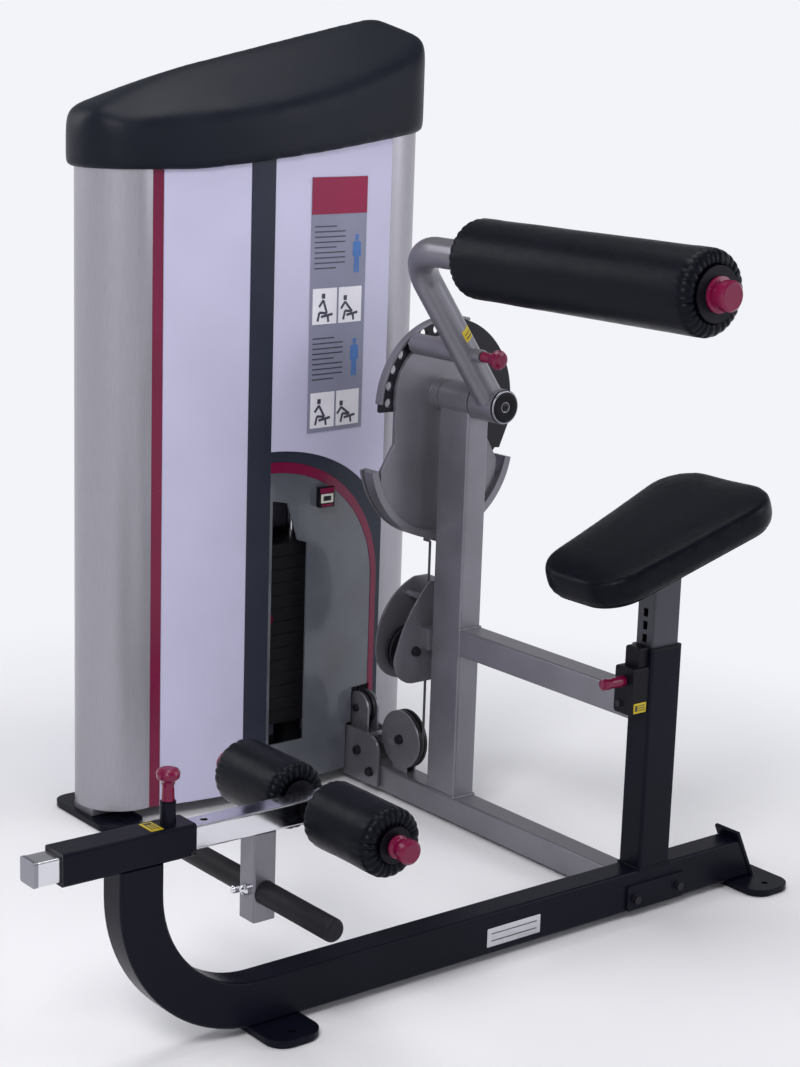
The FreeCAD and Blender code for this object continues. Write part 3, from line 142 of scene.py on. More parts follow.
def floor_material():
    """White paper under the machine that fades out into the white surroundings."""
    mat, nodes, links, shader = new_material("floor_white")
    shader.inputs["Base Color"].default_value = (0.9, 0.9, 0.92, 1.0)
    shader.inputs["Roughness"].default_value = 0.8
    coords = nodes.new("ShaderNodeNewGeometry")
    reach = nodes.new("ShaderNodeVectorMath")
    reach.operation = "LENGTH"
    fade = nodes.new("ShaderNodeMapRange")
    fade.interpolation_type = "SMOOTHSTEP"
    fade.inputs["From Min"].default_value = 0.85
    fade.inputs["From Max"].default_value = 1.9
    clear = nodes.new("ShaderNodeBsdfTransparent")
    blend = nodes.new("ShaderNodeMixShader")
    links.new(coords.outputs["Position"], reach.inputs[0])
    links.new(reach.outputs["Value"], fade.inputs["Value"])
    links.new(fade.outputs["Result"], blend.inputs["Fac"])
    links.new(shader.outputs["BSDF"], blend.inputs[1])
    links.new(clear.outputs["BSDF"], blend.inputs[2])
    links.new(blend.outputs["Shader"], nodes["Material Output"].inputs["Surface"])
    return mat


# ---------------------------------------------------------------- materials

def new_material(name):
    mat = bpy.data.materials.new(name)
    mat.use_nodes = True
    nodes = mat.node_tree.nodes
    return mat, nodes, mat.node_tree.links, nodes["Principled BSDF"]


def texture(nodes, links, kind, scale, stretch=(1.0, 1.0, 1.0), detail=3.0):
    """A noise or cell texture in the object's own coordinates."""
    coords = nodes.new("ShaderNodeTexCoord")
    mapping = nodes.new("ShaderNodeMapping")
    mapping.inputs["Scale"].default_value = stretch
    links.new(coords.outputs["Object"], mapping.inputs["Vector"])
    tex = nodes.new(kind)
    tex.inputs["Scale"].default_value = scale
    if "Detail" in tex.inputs:
        tex.inputs["Detail"].default_value = detail
    links.new(mapping.outputs["Vector"], tex.inputs["Vector"])
    return tex


def tint(nodes, links, shader, source, low, high, start=0.35, end=0.65):
    ramp = nodes.new("ShaderNodeValToRGB")
    ramp.color_ramp.elements[0].position = start
    ramp.color_ramp.elements[1].position = end
    ramp.color_ramp.elements[0].color = (*low, 1.0)
    ramp.color_ramp.elements[1].color = (*high, 1.0)
    links.new(source, ramp.inputs["Fac"])
    links.new(ramp.outputs["Color"], shader.inputs["Base Color"])


def spread(nodes, links, source, socket, low, high):
    ranged = nodes.new("ShaderNodeMapRange")
    ranged.inputs["From Min"].default_value = 0.3
    ranged.inputs["From Max"].default_value = 0.7
    ranged.inputs["To Min"].default_value = low
    ranged.inputs["To Max"].default_value = high
    links.new(source, ranged.inputs["Value"])
    links.new(ranged.outputs["Result"], socket)


def relief(nodes, links, shader, source, strength, depth, edge=0.0):
    bump = nodes.new("ShaderNodeBump")
    bump.inputs["Strength"].default_value = strength
    bump.inputs["Distance"].default_value = depth
    links.new(source, bump.inputs["Height"])
    if edge > 0.0:
        bevel = nodes.new("ShaderNodeBevel")
        bevel.samples = 4
        bevel.inputs["Radius"].default_value = edge
        links.new(bevel.outputs["Normal"], bump.inputs["Normal"])
    links.new(bump.outputs["Normal"], shader.inputs["Normal"])


def shade(color, factor):
    return tuple(min(1.0, c * factor) for c in color)


def powder_coat(name, color, metallic=0.0, rough=(0.36, 0.5), edge=0.0016, gloss=0.5, mottle=0.1):
    """Baked powder paint: fine orange peel, faint blotches, a few dull patches."""
    mat, nodes, links, shader = new_material(name)
    blotch = texture(nodes, links, "ShaderNodeTexNoise", 7.0, detail=5.0)
    peel = texture(nodes, links, "ShaderNodeTexNoise", 620.0, detail=2.0)
    tint(nodes, links, shader, blotch.outputs["Fac"], shade(color, 1.0 - mottle), shade(color, 1.0 + mottle))
    spread(nodes, links, blotch.outputs["Fac"], shader.inputs["Roughness"], *rough)
    relief(nodes, links, shader, peel.outputs["Fac"], 0.22, 0.0005, edge)
    shader.inputs["Metallic"].default_value = metallic
    shader.inputs["Specular IOR Level"].default_value = gloss
    return mat


def brushed_metal(name, color, stretch, rough=(0.24, 0.4), edge=0.0):
    mat, nodes, links, shader = new_material(name)
    grain = texture(nodes, links, "ShaderNodeTexNoise", 60.0, stretch, 4.0)
    tint(nodes, links, shader, grain.outputs["Fac"], shade(color, 0.9), shade(color, 1.08))
    spread(nodes, links, grain.outputs["Fac"], shader.inputs["Roughness"], *rough)
    relief(nodes, links, shader, grain.outputs["Fac"], 0.08, 0.0002, edge)
    shader.inputs["Metallic"].default_value = 0.85
    return mat


def plated(name, color, rough):
    mat, nodes, links, shader = new_material(name)
    smear = texture(nodes, links, "ShaderNodeTexNoise", 22.0, detail=6.0)
    tint(nodes, links, shader, smear.outputs["Fac"], shade(color, 0.93), color)
    spread(nodes, links, smear.outputs["Fac"], shader.inputs["Roughness"], rough, rough + 0.1)
    relief(nodes, links, shader, smear.outputs["Fac"], 0.05, 0.0002, 0.001)
    shader.inputs["Metallic"].default_value = 1.0
    return mat


def moulded(name, color, rough=(0.3, 0.45), grain=480.0, depth=0.0003, edge=0.0012, coat=0.0, gloss=0.3):
    """Injection-moulded plastic with a fine spark texture."""
    mat, nodes, links, shader = new_material(name)
    spark = texture(nodes, links, "ShaderNodeTexNoise", grain, detail=3.0)
    haze = texture(nodes, links, "ShaderNodeTexNoise", 9.0, detail=4.0)
    tint(nodes, links, shader, haze.outputs["Fac"], shade(color, 0.92), shade(color, 1.07))
    spread(nodes, links, haze.outputs["Fac"], shader.inputs["Roughness"], *rough)
    relief(nodes, links, shader, spark.outputs["Fac"], 0.25, depth, edge)
    shader.inputs["Coat Weight"].default_value = coat
    shader.inputs["Coat Roughness"].default_value = 0.12
    shader.inputs["Specular IOR Level"].default_value = gloss
    return mat


def vinyl(name, color):
    """Upholstery vinyl: pebbled grain with fine creases."""
    mat, nodes, links, shader = new_material(name)
    pebble = texture(nodes, links, "ShaderNodeTexVoronoi", 520.0)
    crease = texture(nodes, links, "ShaderNodeTexNoise", 70.0, detail=6.0)
    joined = nodes.new("ShaderNodeMath")
    joined.operation = "MULTIPLY_ADD"
    joined.inputs[1].default_value = 0.5
    links.new(pebble.outputs["Distance"], joined.inputs[0])
    links.new(crease.outputs["Fac"], joined.inputs[2])
    tint(nodes, links, shader, crease.outputs["Fac"], shade(color, 0.8), shade(color, 1.25))
    spread(nodes, links, crease.outputs["Fac"], shader.inputs["Roughness"], 0.3, 0.42)
    relief(nodes, links, shader, joined.outputs["Value"], 0.3, 0.0006)
    shader.inputs["Specular IOR Level"].default_value = 0.1
    return mat


def cast_paint(name, color):
    mat, nodes, links, shader = new_material(name)
    pits = texture(nodes, links, "ShaderNodeTexNoise", 260.0, detail=5.0)
    tint(nodes, links, shader, pits.outputs["Fac"], shade(color, 0.75), shade(color, 1.3))
    spread(nodes, links, pits.outputs["Fac"], shader.inputs["Roughness"], 0.45, 0.62)
    relief(nodes, links, shader, pits.outputs["Fac"], 0.4, 0.0006, 0.002)
    shader.inputs["Metallic"].default_value = 0.2
    return mat


def wire_rope(name):
    """Nylon-jacketed rope, with the strands' twist showing faintly."""
    mat, nodes, links, shader = new_material(name)
    lay = texture(nodes, links, "ShaderNodeTexWave", 160.0, (1.0, 1.0, 1.0), 1.0)
    tint(nodes, links, shader, lay.outputs["Fac"], (0.025, 0.025, 0.03), (0.06, 0.06, 0.07), 0.2, 0.8)
    spread(nodes, links, lay.outputs["Fac"], shader.inputs["Roughness"], 0.3, 0.5)
    relief(nodes, links, shader, lay.outputs["Fac"], 0.4, 0.0006)
    return mat


def see_through(name, color, alpha, rough):
    mat, nodes, links, shader = new_material(name)
    haze = texture(nodes, links, "ShaderNodeTexNoise", 12.0, detail=4.0)
    tint(nodes, links, shader, haze.outputs["Fac"], shade(color, 0.9), shade(color, 1.1))
    spread(nodes, links, haze.outputs["Fac"], shader.inputs["Roughness"], rough, rough + 0.1)
    shader.inputs["Alpha"].default_value = alpha
    shader.inputs["Coat Weight"].default_value = 0.4
    return mat


MATS = {
    "black_frame": powder_coat("black_frame_paint", (0.0040, 0.0045, 0.0105), rough=(0.27, 0.38), gloss=0.1),
    "gray_frame": powder_coat("gray_frame_paint", (0.2, 0.195, 0.222), 0.6, (0.27, 0.38)),
    "post_gray": powder_coat("post_paint", (0.05, 0.051, 0.066), 0.3),
    "silver_column": brushed_metal("column_aluminium", (0.36, 0.35, 0.385), (40.0, 40.0, 0.6), (0.3, 0.46)),
    "pale_panel": powder_coat("panel_paint", (0.50, 0.485, 0.65), 0.0, (0.34, 0.44), mottle=0.025),
    "slate_plastic": moulded("slate_plastic", (0.021, 0.025, 0.041), (0.32, 0.44), gloss=0.2),
    "smoked_plastic": see_through("smoked_shield", (0.105, 0.112, 0.135), 0.86, 0.18),
    "crimson_plastic": moulded("crimson_plastic", (0.155, 0.003, 0.036), (0.18, 0.3), coat=0.1),
    "cap_plastic": moulded("cap_plastic", (0.0062, 0.0078, 0.0145), (0.36, 0.48), 520.0, 0.0004, gloss=0.15),
    "black_plastic": moulded("black_plastic", (0.0045, 0.0045, 0.0075), (0.34, 0.46), gloss=0.13),
    "black_rubber": moulded("black_rubber", (0.008, 0.008, 0.011), (0.46, 0.6), 360.0, 0.0006, gloss=0.2),
    "black_vinyl": vinyl("black_vinyl", (0.0022, 0.0028, 0.0062)),
    "chrome": plated("chrome_plate", (0.72, 0.72, 0.76), 0.08),
    "zinc_steel": plated("zinc_plate", (0.30, 0.30, 0.34), 0.28),
    "black_steel": powder_coat("black_steel", (0.008, 0.008, 0.013), 0.1, (0.28, 0.4), 0.001, 0.3),
    "plate_iron": cast_paint("plate_paint", (0.008, 0.008, 0.012)),
    "cable_coat": wire_rope("cable_jacket"),
    "pulley_nylon": moulded("pulley_nylon", (0.009, 0.009, 0.012), (0.28, 0.4)),
}


def dress_nodes():
    """Gives every CAD node its finish, and shades its curved faces smoothly."""
    slots = {row["node"]: row["material_slot"] for row in frame["record"]["subparts"]}
    for name, obj in NODES.items():
        obj.data.materials.clear()
        obj.data.materials.append(MATS[slots[name]])
        smooth_by_angle(obj, 32.0)


def smooth_by_angle(obj, degrees):
    mesh = obj.data
    mesh.shade_smooth()
    mesh.set_sharp_from_angle(angle=math.radians(degrees))


# ---------------------------------------------------------------- mesh helpers

def ring_faces(rings, count, capped=True):
    """Quads between rings of the same number of points, with a flat face over each end."""
    faces = []
    for i in range(rings - 1):
        for k in range(count):
            m = (k + 1) % count
            faces.append((i * count + k, i * count + m, (i + 1) * count + m, (i + 1) * count + k))
    if capped:
        faces.append(tuple(range(count - 1, -1, -1)))
        faces.append(tuple(range((rings - 1) * count, rings * count)))
    return faces


def add_mesh(name, verts, faces, material, body, smooth=35.0):
    mesh = bpy.data.meshes.new(name)
    mesh.from_pydata([tuple(v) for v in verts], [], faces)
    mesh.validate()
    tidy = bmesh.new()
    tidy.from_mesh(mesh)
    bmesh.ops.recalc_face_normals(tidy, faces=tidy.faces)
    tidy.to_mesh(mesh)
    tidy.free()
    obj = bpy.data.objects.new(name, mesh)
    scene.collection.objects.link(obj)
    mesh.materials.append(material)
    smooth_by_angle(obj, smooth)
    if body:
        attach(obj, body)
    return obj


def lathe(name, rings, segments, material, body, smooth, centre):
    """A surface of rings along Y. Each ring is a function of the turn, or a (distance, radius) pair."""
    verts = []
    for ring in rings:
        for k in range(segments):
            turn = 2.0 * math.pi * k / segments
            along, radius = ring(turn) if callable(ring) else ring
            spot = (radius * math.cos(turn), along, radius * math.sin(turn))
            verts.append(place(*(Vector(spot) + Vector(centre))))
    faces = ring_faces(len(rings), segments, False)
    return add_mesh(name, verts, faces, material, body, smooth)


# ---------------------------------------------------------------- rollers

CHEST_AXLE = (-200.0, 0.0, 1079.0)
CHEST_R = 66.0
FOOT_AXLE = (-696.0, 0.0, 323.5)
FOOT_R = 52.0


def pleat_wave(count, seed):
    """Uneven pleats round a gathered end: sharp creases at -1 between puffed crests near 1."""
    rng = random.Random(seed)
    phases = [rng.uniform(0.0, 6.28) for _ in range(4)]

    def wave(turn):
        drift = 0.9 * math.sin(3 * turn + phases[0]) + 0.7 * math.sin(5 * turn + phases[1])
        height = 0.72 + 0.18 * math.sin(7 * turn + phases[2]) + 0.1 * math.sin(11 * turn + phases[3])
        puff = abs(math.sin((count * turn + drift) / 2.0)) ** 0.55
        return 1.0 - 2.0 * height * (1.0 - puff)
    return wave


def soft_roller(name, centre, y0, y1, radius, bore, hub, body, node, seed, pleats):
    """Foam roller in a vinyl sleeve whose ends are gathered into pleats round the hub."""
    waves = [pleat_wave(pleats, seed), pleat_wave(pleats, seed + 1)]
    edge = radius * 0.27
    profile = []
    for k in range(5):
        t = k / 4.0
        profile.append((0.5 + 2.4 * (1.0 - t) ** 2, hub + (radius - edge - hub) * t, 1.0))
    for k in range(1, 11):
        t = math.radians(90.0 * k / 10.0)
        out = radius - edge + edge * math.sin(t)
        profile.append((0.5 + edge * (1.0 - math.cos(t)), out, 1.0 - 0.62 * k / 10.0))
    for depth in (3.0, 7.0, 12.0, 18.0, 26.0):
        profile.append((edge + depth, radius, 0.38 * math.exp(-depth / 6.5)))
    middle = max(6, int((y1 - y0 - 2 * (edge + 26.0)) / 14.0))

    def ring_of(inset, base, fold, end):
        def ring(turn):
            wave = waves[end](turn)
            row = seed * 7 + end * 3 + inset * 0.02
            sag = noise.noise(Vector((math.cos(turn) * 1.4, math.sin(turn) * 1.4, row)))
            level = inset + fold * 1.9 * (1.0 - wave) + 0.4
            out = base - fold * 1.9 * (1.0 - wave) * (base - hub) / (radius - hub) - 0.5 + 0.45 * sag
            y = y0 + level if end == 0 else y1 - level
            return (y - centre[1], out)
        return ring

    rings = [(y0 + 8.0 - centre[1], bore), (y0 + 5.0 - centre[1], hub - 1.0)]
    rings += [ring_of(i, r, f, 0) for i, r, f in profile]
    start = edge + 26.0
    for k in range(1, middle):
        y = y0 + start + (y1 - y0 - 2 * start) * k / middle

        def body_ring(turn, y=y):
            ripple = noise.noise(Vector((math.cos(turn) * 1.1 + seed, math.sin(turn) * 1.1, y * 0.011)))
            return (y - centre[1], radius - 0.8 + 0.7 * ripple)
        rings.append(body_ring)
    rings += [ring_of(i, r, f, 1) for i, r, f in reversed(profile)]
    rings += [(y1 - 5.0 - centre[1], hub - 1.0), (y1 - 8.0 - centre[1], bore), (y0 + 8.0 - centre[1], bore)]
    obj = lathe(name, rings, 240, MATS["black_vinyl"], body, 70.0, centre)
    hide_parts(node)


def sewn_seam(name, centre, y0, y1, radius, angle, body):
    """The sleeve's long seam: a fine raised lap along the roller."""
    verts = []
    faces = []
    steps = 60
    for k in range(steps + 1):
        y = y0 + (y1 - y0) * k / steps
        for across, lift in ((-2.2, -0.9), (-1.4, 0.25), (1.4, 0.3), (2.2, -0.9)):
            turn = angle + across / radius
            r = radius + lift - 0.6
            verts.append(place(centre[0] + r * math.cos(turn), y, centre[2] + r * math.sin(turn)))
    for k in range(steps):
        for j in range(3):
            a = k * 4 + j
            faces.append((a, a + 1, a + 5, a + 4))
        faces.append((k * 4 + 3, k * 4, k * 4 + 4, k * 4 + 7))
    faces.append((0, 1, 2, 3))
    faces.append(tuple(steps * 4 + j for j in (3, 2, 1, 0)))
    add_mesh(name, verts, faces, MATS["black_vinyl"], body)


def make_rollers():
    soft_roller("chest_roller_pad", CHEST_AXLE, -270.0, 265.0, CHEST_R, 30.4, 43.0,
                "chest", "chest_roller", 3, 30)
    sewn_seam("chest_roller_seam", CHEST_AXLE, -250.0, 245.0, CHEST_R, math.radians(-62.0), "chest")
    for side, y0, y1, seed in (("near", -193.0, -36.0, 11), ("far", 36.0, 193.0, 23)):
        body = side + "_roller"
        node = "foot_roller_" + side
        soft_roller(node + "_pad", FOOT_AXLE, y0, y1, FOOT_R, 13.4, 28.5, body, node, seed, 24)
        sewn_seam(node + "_seam", FOOT_AXLE, y0 + 16.0, y1 - 16.0, FOOT_R, math.radians(-70.0), body)


# ---------------------------------------------------------------- seat pad

SEAT_NOSE = Vector((-195.0, 0.0, 554.0))
SEAT_TILT = math.radians(19.2)
SEAT_X = Vector((math.cos(SEAT_TILT), 0.0, math.sin(SEAT_TILT)))
SEAT_Z = Vector((-math.sin(SEAT_TILT), 0.0, math.cos(SEAT_TILT)))
SEAT_ORIGIN = SEAT_NOSE / 1000.0 + SHIFT
SEAT_LENGTH = 0.388
SEAT_CORNER = 0.075
SEAT_HALF_NOSE = 0.095
SEAT_HALF_BACK = 0.134
SEAT_LOW = 0.0035
SEAT_HIGH = 0.0555
SEAT_MIDDLE = Vector((SEAT_LENGTH / 2, 0.0))


def to_seat(point):
    d = point - SEAT_ORIGIN
    return Vector((d.dot(SEAT_X), d.y, d.dot(SEAT_Z)))


def from_seat(local):
    return SEAT_ORIGIN + SEAT_X * local.x + Vector((0.0, local.y, 0.0)) + SEAT_Z * local.z


def seat_outline(inset, count=160):
    """The pad's outline on its board, as rays from the middle that meet a rounded, tapered plan."""
    points = []
    for k in range(count):
        turn = 2.0 * math.pi * k / count
        ray = Vector((math.cos(turn), math.sin(turn)))
        low = 0.0
        high = 0.4
        for _ in range(26):
            mid = (low + high) / 2.0
            if plan_distance(SEAT_MIDDLE + ray * mid) < -inset:
                low = mid
            else:
                high = mid
        points.append(SEAT_MIDDLE + ray * low)
    return points


def plan_distance(p):
    """Signed distance to the tapered plan with round corners (negative inside)."""
    r = SEAT_CORNER
    slope = (SEAT_HALF_BACK - SEAT_HALF_NOSE) / SEAT_LENGTH
    centre_nose = Vector((r, SEAT_HALF_NOSE + r * slope - r))
    centre_back = Vector((SEAT_LENGTH - r, SEAT_HALF_BACK - r * slope - r))
    q = Vector((p.x, abs(p.y)))
    edges = ((Vector((-1, 0)), centre_nose), (Vector((1, 0)), centre_back),
             (Vector((-slope, 1)).normalized(), centre_nose))
    inner = max(n.dot(q - c) for n, c in edges)
    if inner <= 0.0:
        return inner - r
    spine = centre_back - centre_nose
    t = max(0.0, min(1.0, (q - centre_nose).dot(spine) / spine.length_squared))
    near = (q - (centre_nose + spine * t)).length
    if q.x < centre_nose.x and q.y < centre_nose.y:
        near = centre_nose.x - q.x
    if q.x > centre_back.x and q.y < centre_back.y:
        near = q.x - centre_back.x
    return near - r


def seat_shell(low, high, shrink):
    """A closed pad body in the seat's own axes: rings from the underside up over the crown."""
    rings = []
    total = high - low
    for inset, z in ((0.09, low), (0.05, low), (0.012, low), (0.004, low + 0.002), (0.001, low + 0.009),
                     (0.0, low + total * 0.4), (0.0, low + total * 0.7), (0.0015, low + total * 0.82),
                     (0.005, low + total * 0.89), (0.011, low + total * 0.93), (0.03, low + total * 0.965),
                     (0.055, low + total * 0.99), (0.08, high)):
        rings.append([Vector((p.x, p.y, z)) for p in seat_outline(inset + shrink)])
    return rings


def make_seat():
    rings = seat_shell(SEAT_LOW, SEAT_HIGH, 0.0015)
    verts = [from_seat(v) for ring in rings for v in ring]
    faces = ring_faces(len(rings), len(rings[0]))
    mesh = bpy.data.meshes.new("seat_cushion")
    mesh.from_pydata([tuple(v) for v in verts], [], faces)
    obj = bpy.data.objects.new("seat_cushion", mesh)
    scene.collection.objects.link(obj)
    voxel_remesh(obj, 0.005)
    inflate(obj, lambda v: to_seat(v).z < SEAT_LOW + 0.004, 2.0, 0.0028)
    settle_seat(obj, SEAT_LOW)
    obj.data.materials.append(MATS["black_vinyl"])
    obj.data.shade_smooth()
    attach(obj, "seat")
    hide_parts("seat_pad")
    make_seat_board(SEAT_LOW)


def settle_seat(obj, low):
    """Flattens the underside on its board, and presses in the sewn seam round the side."""
    for v in obj.data.vertices:
        p = to_seat(v.co)
        if p.z < low:
            p.z = low
        out = plan_distance(Vector((p.x, p.y)))
        if abs(out) < 0.02 and p.z > low + 0.004:
            groove = math.exp(-((p.z - low - 0.0075) / 0.002) ** 2)
            pull = (Vector((p.x, p.y)) - SEAT_MIDDLE).normalized() * (0.0016 * groove)
            p.x -= pull.x
            p.y -= pull.y
        v.co = from_seat(p)
    sub = obj.modifiers.new("round", "SUBSURF")
    sub.levels = 1
    sub.render_levels = 1
    apply_modifiers(obj)


def make_seat_board(low):
    """The black board under the pad, set in from the cushion's edge."""
    rings = []
    for inset, z in ((0.013, 0.0006), (0.0115, 0.0012), (0.0115, low), (0.013, low + 0.001)):
        rings.append([Vector((p.x, p.y, z)) for p in seat_outline(inset)])
    verts = [from_seat(v) for ring in rings for v in ring]
    faces = ring_faces(len(rings), len(rings[0]))
    add_mesh("seat_board", verts, faces, MATS["black_plastic"], "seat")


def apply_modifiers(obj):
    bpy.context.view_layer.update()
    graph = bpy.context.evaluated_depsgraph_get()
    mesh = bpy.data.meshes.new_from_object(obj.evaluated_get(graph))
    old = obj.data
    obj.modifiers.clear()
    obj.data = mesh
    bpy.data.meshes.remove(old)


def voxel_remesh(obj, size):
    mod = obj.modifiers.new("remesh", "REMESH")
    mod.mode = "VOXEL"
    mod.voxel_size = size
    apply_modifiers(obj)
    smooth = obj.modifiers.new("smooth", "SMOOTH")
    smooth.factor = 0.6
    smooth.iterations = 4
    apply_modifiers(obj)


def inflate(obj, held, pressure, cap):
    """Blows the cover up against its own stiffness with part of it held, then caps and evens the swelling."""
    rest = [v.co.copy() for v in obj.data.vertices]
    pinned = obj.vertex_groups.new(name="held")
    pinned.add([v.index for v in obj.data.vertices if held(v.co)], 1.0, "REPLACE")
    mod = obj.modifiers.new("cloth", "CLOTH")
    cloth = mod.settings
    cloth.use_pressure = True
    cloth.uniform_pressure_force = pressure
    cloth.tension_stiffness = 20.0
    cloth.compression_stiffness = 20.0
    cloth.bending_stiffness = 2.0
    cloth.effector_weights.gravity = 0.0
    cloth.vertex_group_mass = "held"
    mod.point_cache.frame_start = 1
    mod.point_cache.frame_end = 20
    for number in range(1, 21):
        scene.frame_set(number)
    apply_modifiers(obj)
    scene.frame_set(1)
    moves = []
    for v, start in zip(obj.data.vertices, rest):
        move = v.co - start
        moves.append(move * min(1.0, cap / max(move.length, 1e-9)))
    for v, start, move in zip(obj.data.vertices, rest, ease_moves(obj.data, moves, 60)):
        v.co = start + move


def ease_moves(mesh, moves, rounds):
    """Averages each vertex's move with its neighbours', which leaves the shape's own edges crisp."""
    near = [[] for _ in moves]
    for edge in mesh.edges:
        first, second = edge.vertices
        near[first].append(second)
        near[second].append(first)
    for _ in range(rounds):
        eased = []
        for move, around in zip(moves, near):
            mean = sum((moves[k] for k in around), Vector()) / len(around)
            eased.append((move + mean) / 2.0)
        moves = eased
    return moves


# ---------------------------------------------------------------- decals on the bowed front

TOWER_MIDDLE_X = -214.0
FRONT_R = 1230.43
FRONT_C = 775.0 + FRONT_R


def front_y(x, lift):
    """The bowed front panel's Y at X, moved out by the lift."""
    return FRONT_C - math.sqrt((FRONT_R + lift) ** 2 - (x - TOWER_MIDDLE_X) ** 2)


def front_sheet(name, corners, lift, material, columns=12):
    """A thin sheet on the bowed front. Corners run round from lower left, in (x, z)."""
    verts = []
    faces = []
    (ax, az), (bx, bz), (cx, cz), (dx, dz) = corners
    for depth in (lift, lift - 0.6):
        for k in range(columns + 1):
            t = k / columns
            for x, z in ((ax + (bx - ax) * t, az + (bz - az) * t), (dx + (cx - dx) * t, dz + (cz - dz) * t)):
                verts.append(place(x, front_y(x, depth), z))
    half = 2 * (columns + 1)
    for k in range(columns):
        a = 2 * k
        faces.append((a, a + 2, a + 3, a + 1))
        faces.append((half + a, half + a + 1, half + a + 3, half + a + 2))
        faces.append((a, half + a, half + a + 2, a + 2))
        faces.append((a + 1, a + 3, half + a + 3, half + a + 1))
    faces.append((0, 1, half + 1, half))
    end = 2 * columns
    faces.append((end, half + end, half + end + 1, end + 1))
    return add_mesh(name, verts, faces, material, "frame")


def rect(x0, x1, z0, z1):
    return ((x0, z0), (x1, z0), (x1, z1), (x0, z1))


def stroke(x0, z0, x1, z1, width):
    """A limb of a pictogram: a slanted bar given by its two ends."""
    d = Vector((x1 - x0, z1 - z0)).normalized() * (width / 2)
    n = Vector((-d.y, d.x))
    return ((x0 - n.x, z0 - n.y), (x1 - n.x, z1 - n.y), (x1 + n.x, z1 + n.y), (x0 + n.x, z0 + n.y))


def printed(name, color, rough=0.4):
    return moulded(name, color, (rough, rough + 0.1), 700.0, 0.00005, 0.0)


def make_placard():
    grey = printed("placard_grey", (0.22, 0.225, 0.31))
    white = printed("placard_white", (0.75, 0.74, 0.80))
    crimson = printed("placard_crimson", (0.24, 0.006, 0.05))
    ink = printed("placard_ink", (0.05, 0.05, 0.08))
    blue = printed("placard_blue", (0.06, 0.16, 0.42))
    front_sheet("placard_plate", rect(-156.0, -20.0, 704.0, 1173.0), 1.4, grey)
    front_sheet("placard_header", rect(-156.0, -20.0, 1106.0, 1173.0), 1.9, crimson)
    for row, base in enumerate((905.0, 712.0)):
        for col, x in enumerate((-150.0, -87.0)):
            box = rect(x, x + 58.0, base, base + 66.0)
            front_sheet("placard_box_%d%d" % (row, col), box, 2.0, white)
            pictogram("placard_figure_%d%d" % (row, col), x, base, 12.0 * col + 6.0 * row, ink)
        top = base + 180.0 if row == 0 else base + 168.0
        for k in range(9):
            z = top - 9.5 * k
            width = 74.0 if k % 4 else 52.0
            rule = rect(-148.0, -148.0 + width, z - 2.2, z)
            front_sheet("placard_rule_%d%d" % (row, k), rule, 1.9, ink, 6)
        standing_figure("placard_body_%d" % row, -44.0, base + 92.0, blue)


def pictogram(name, x, z, lean, ink):
    """A plain seated figure on a bench, drawn with bars."""
    tilt = math.radians(70.0 - lean * 2.0)
    hip = (x + 34.0, z + 20.0)
    neck = (hip[0] - 26.0 * math.cos(tilt), hip[1] + 26.0 * math.sin(tilt))
    knee = (hip[0] - 18.0, hip[1] + 2.0)
    limbs = [(hip, neck), (hip, knee), (knee, (hip[0] - 22.0, hip[1] - 14.0)),
             (neck, (neck[0] - 10.0, neck[1] - 12.0)), ((x + 20.0, z + 14.0), (x + 48.0, z + 18.0)),
             ((x + 36.0, z + 16.0), (x + 38.0, z + 4.0))]
    for k, (a, b) in enumerate(limbs):
        front_sheet("%s_%d" % (name, k), stroke(a[0], a[1], b[0], b[1], 4.6), 2.5, ink, 3)
    head = rect(neck[0] - 4.0, neck[0] + 4.0, neck[1] + 3.0, neck[1] + 12.0)
    front_sheet(name + "_head", head, 2.5, ink, 3)


def standing_figure(name, x, z, blue):
    """A plain standing figure: trunk, two legs, two arms and head, each a bar of its own width."""
    bars = (((x, z + 30.0), (x, z + 58.0), 13.0),
            ((x - 4.0, z), (x - 3.0, z + 30.0), 5.5),
            ((x + 4.0, z), (x + 3.0, z + 30.0), 5.5),
            ((x - 9.0, z + 30.0), (x - 8.0, z + 56.0), 3.6),
            ((x + 9.0, z + 30.0), (x + 8.0, z + 56.0), 3.6),
            ((x, z + 60.0), (x, z + 70.0), 8.0))
    for k, (a, b, w) in enumerate(bars):
        front_sheet("%s_%d" % (name, k), stroke(a[0], a[1], b[0], b[1], w), 1.9, blue, 3)


# ---------------------------------------------------------------- tower cap

# Metres. Up to this height the cap's edges are eased least, and this far above it in full.
CAP_RIM_Z = 1.235
CAP_EASE_RISE = 0.045


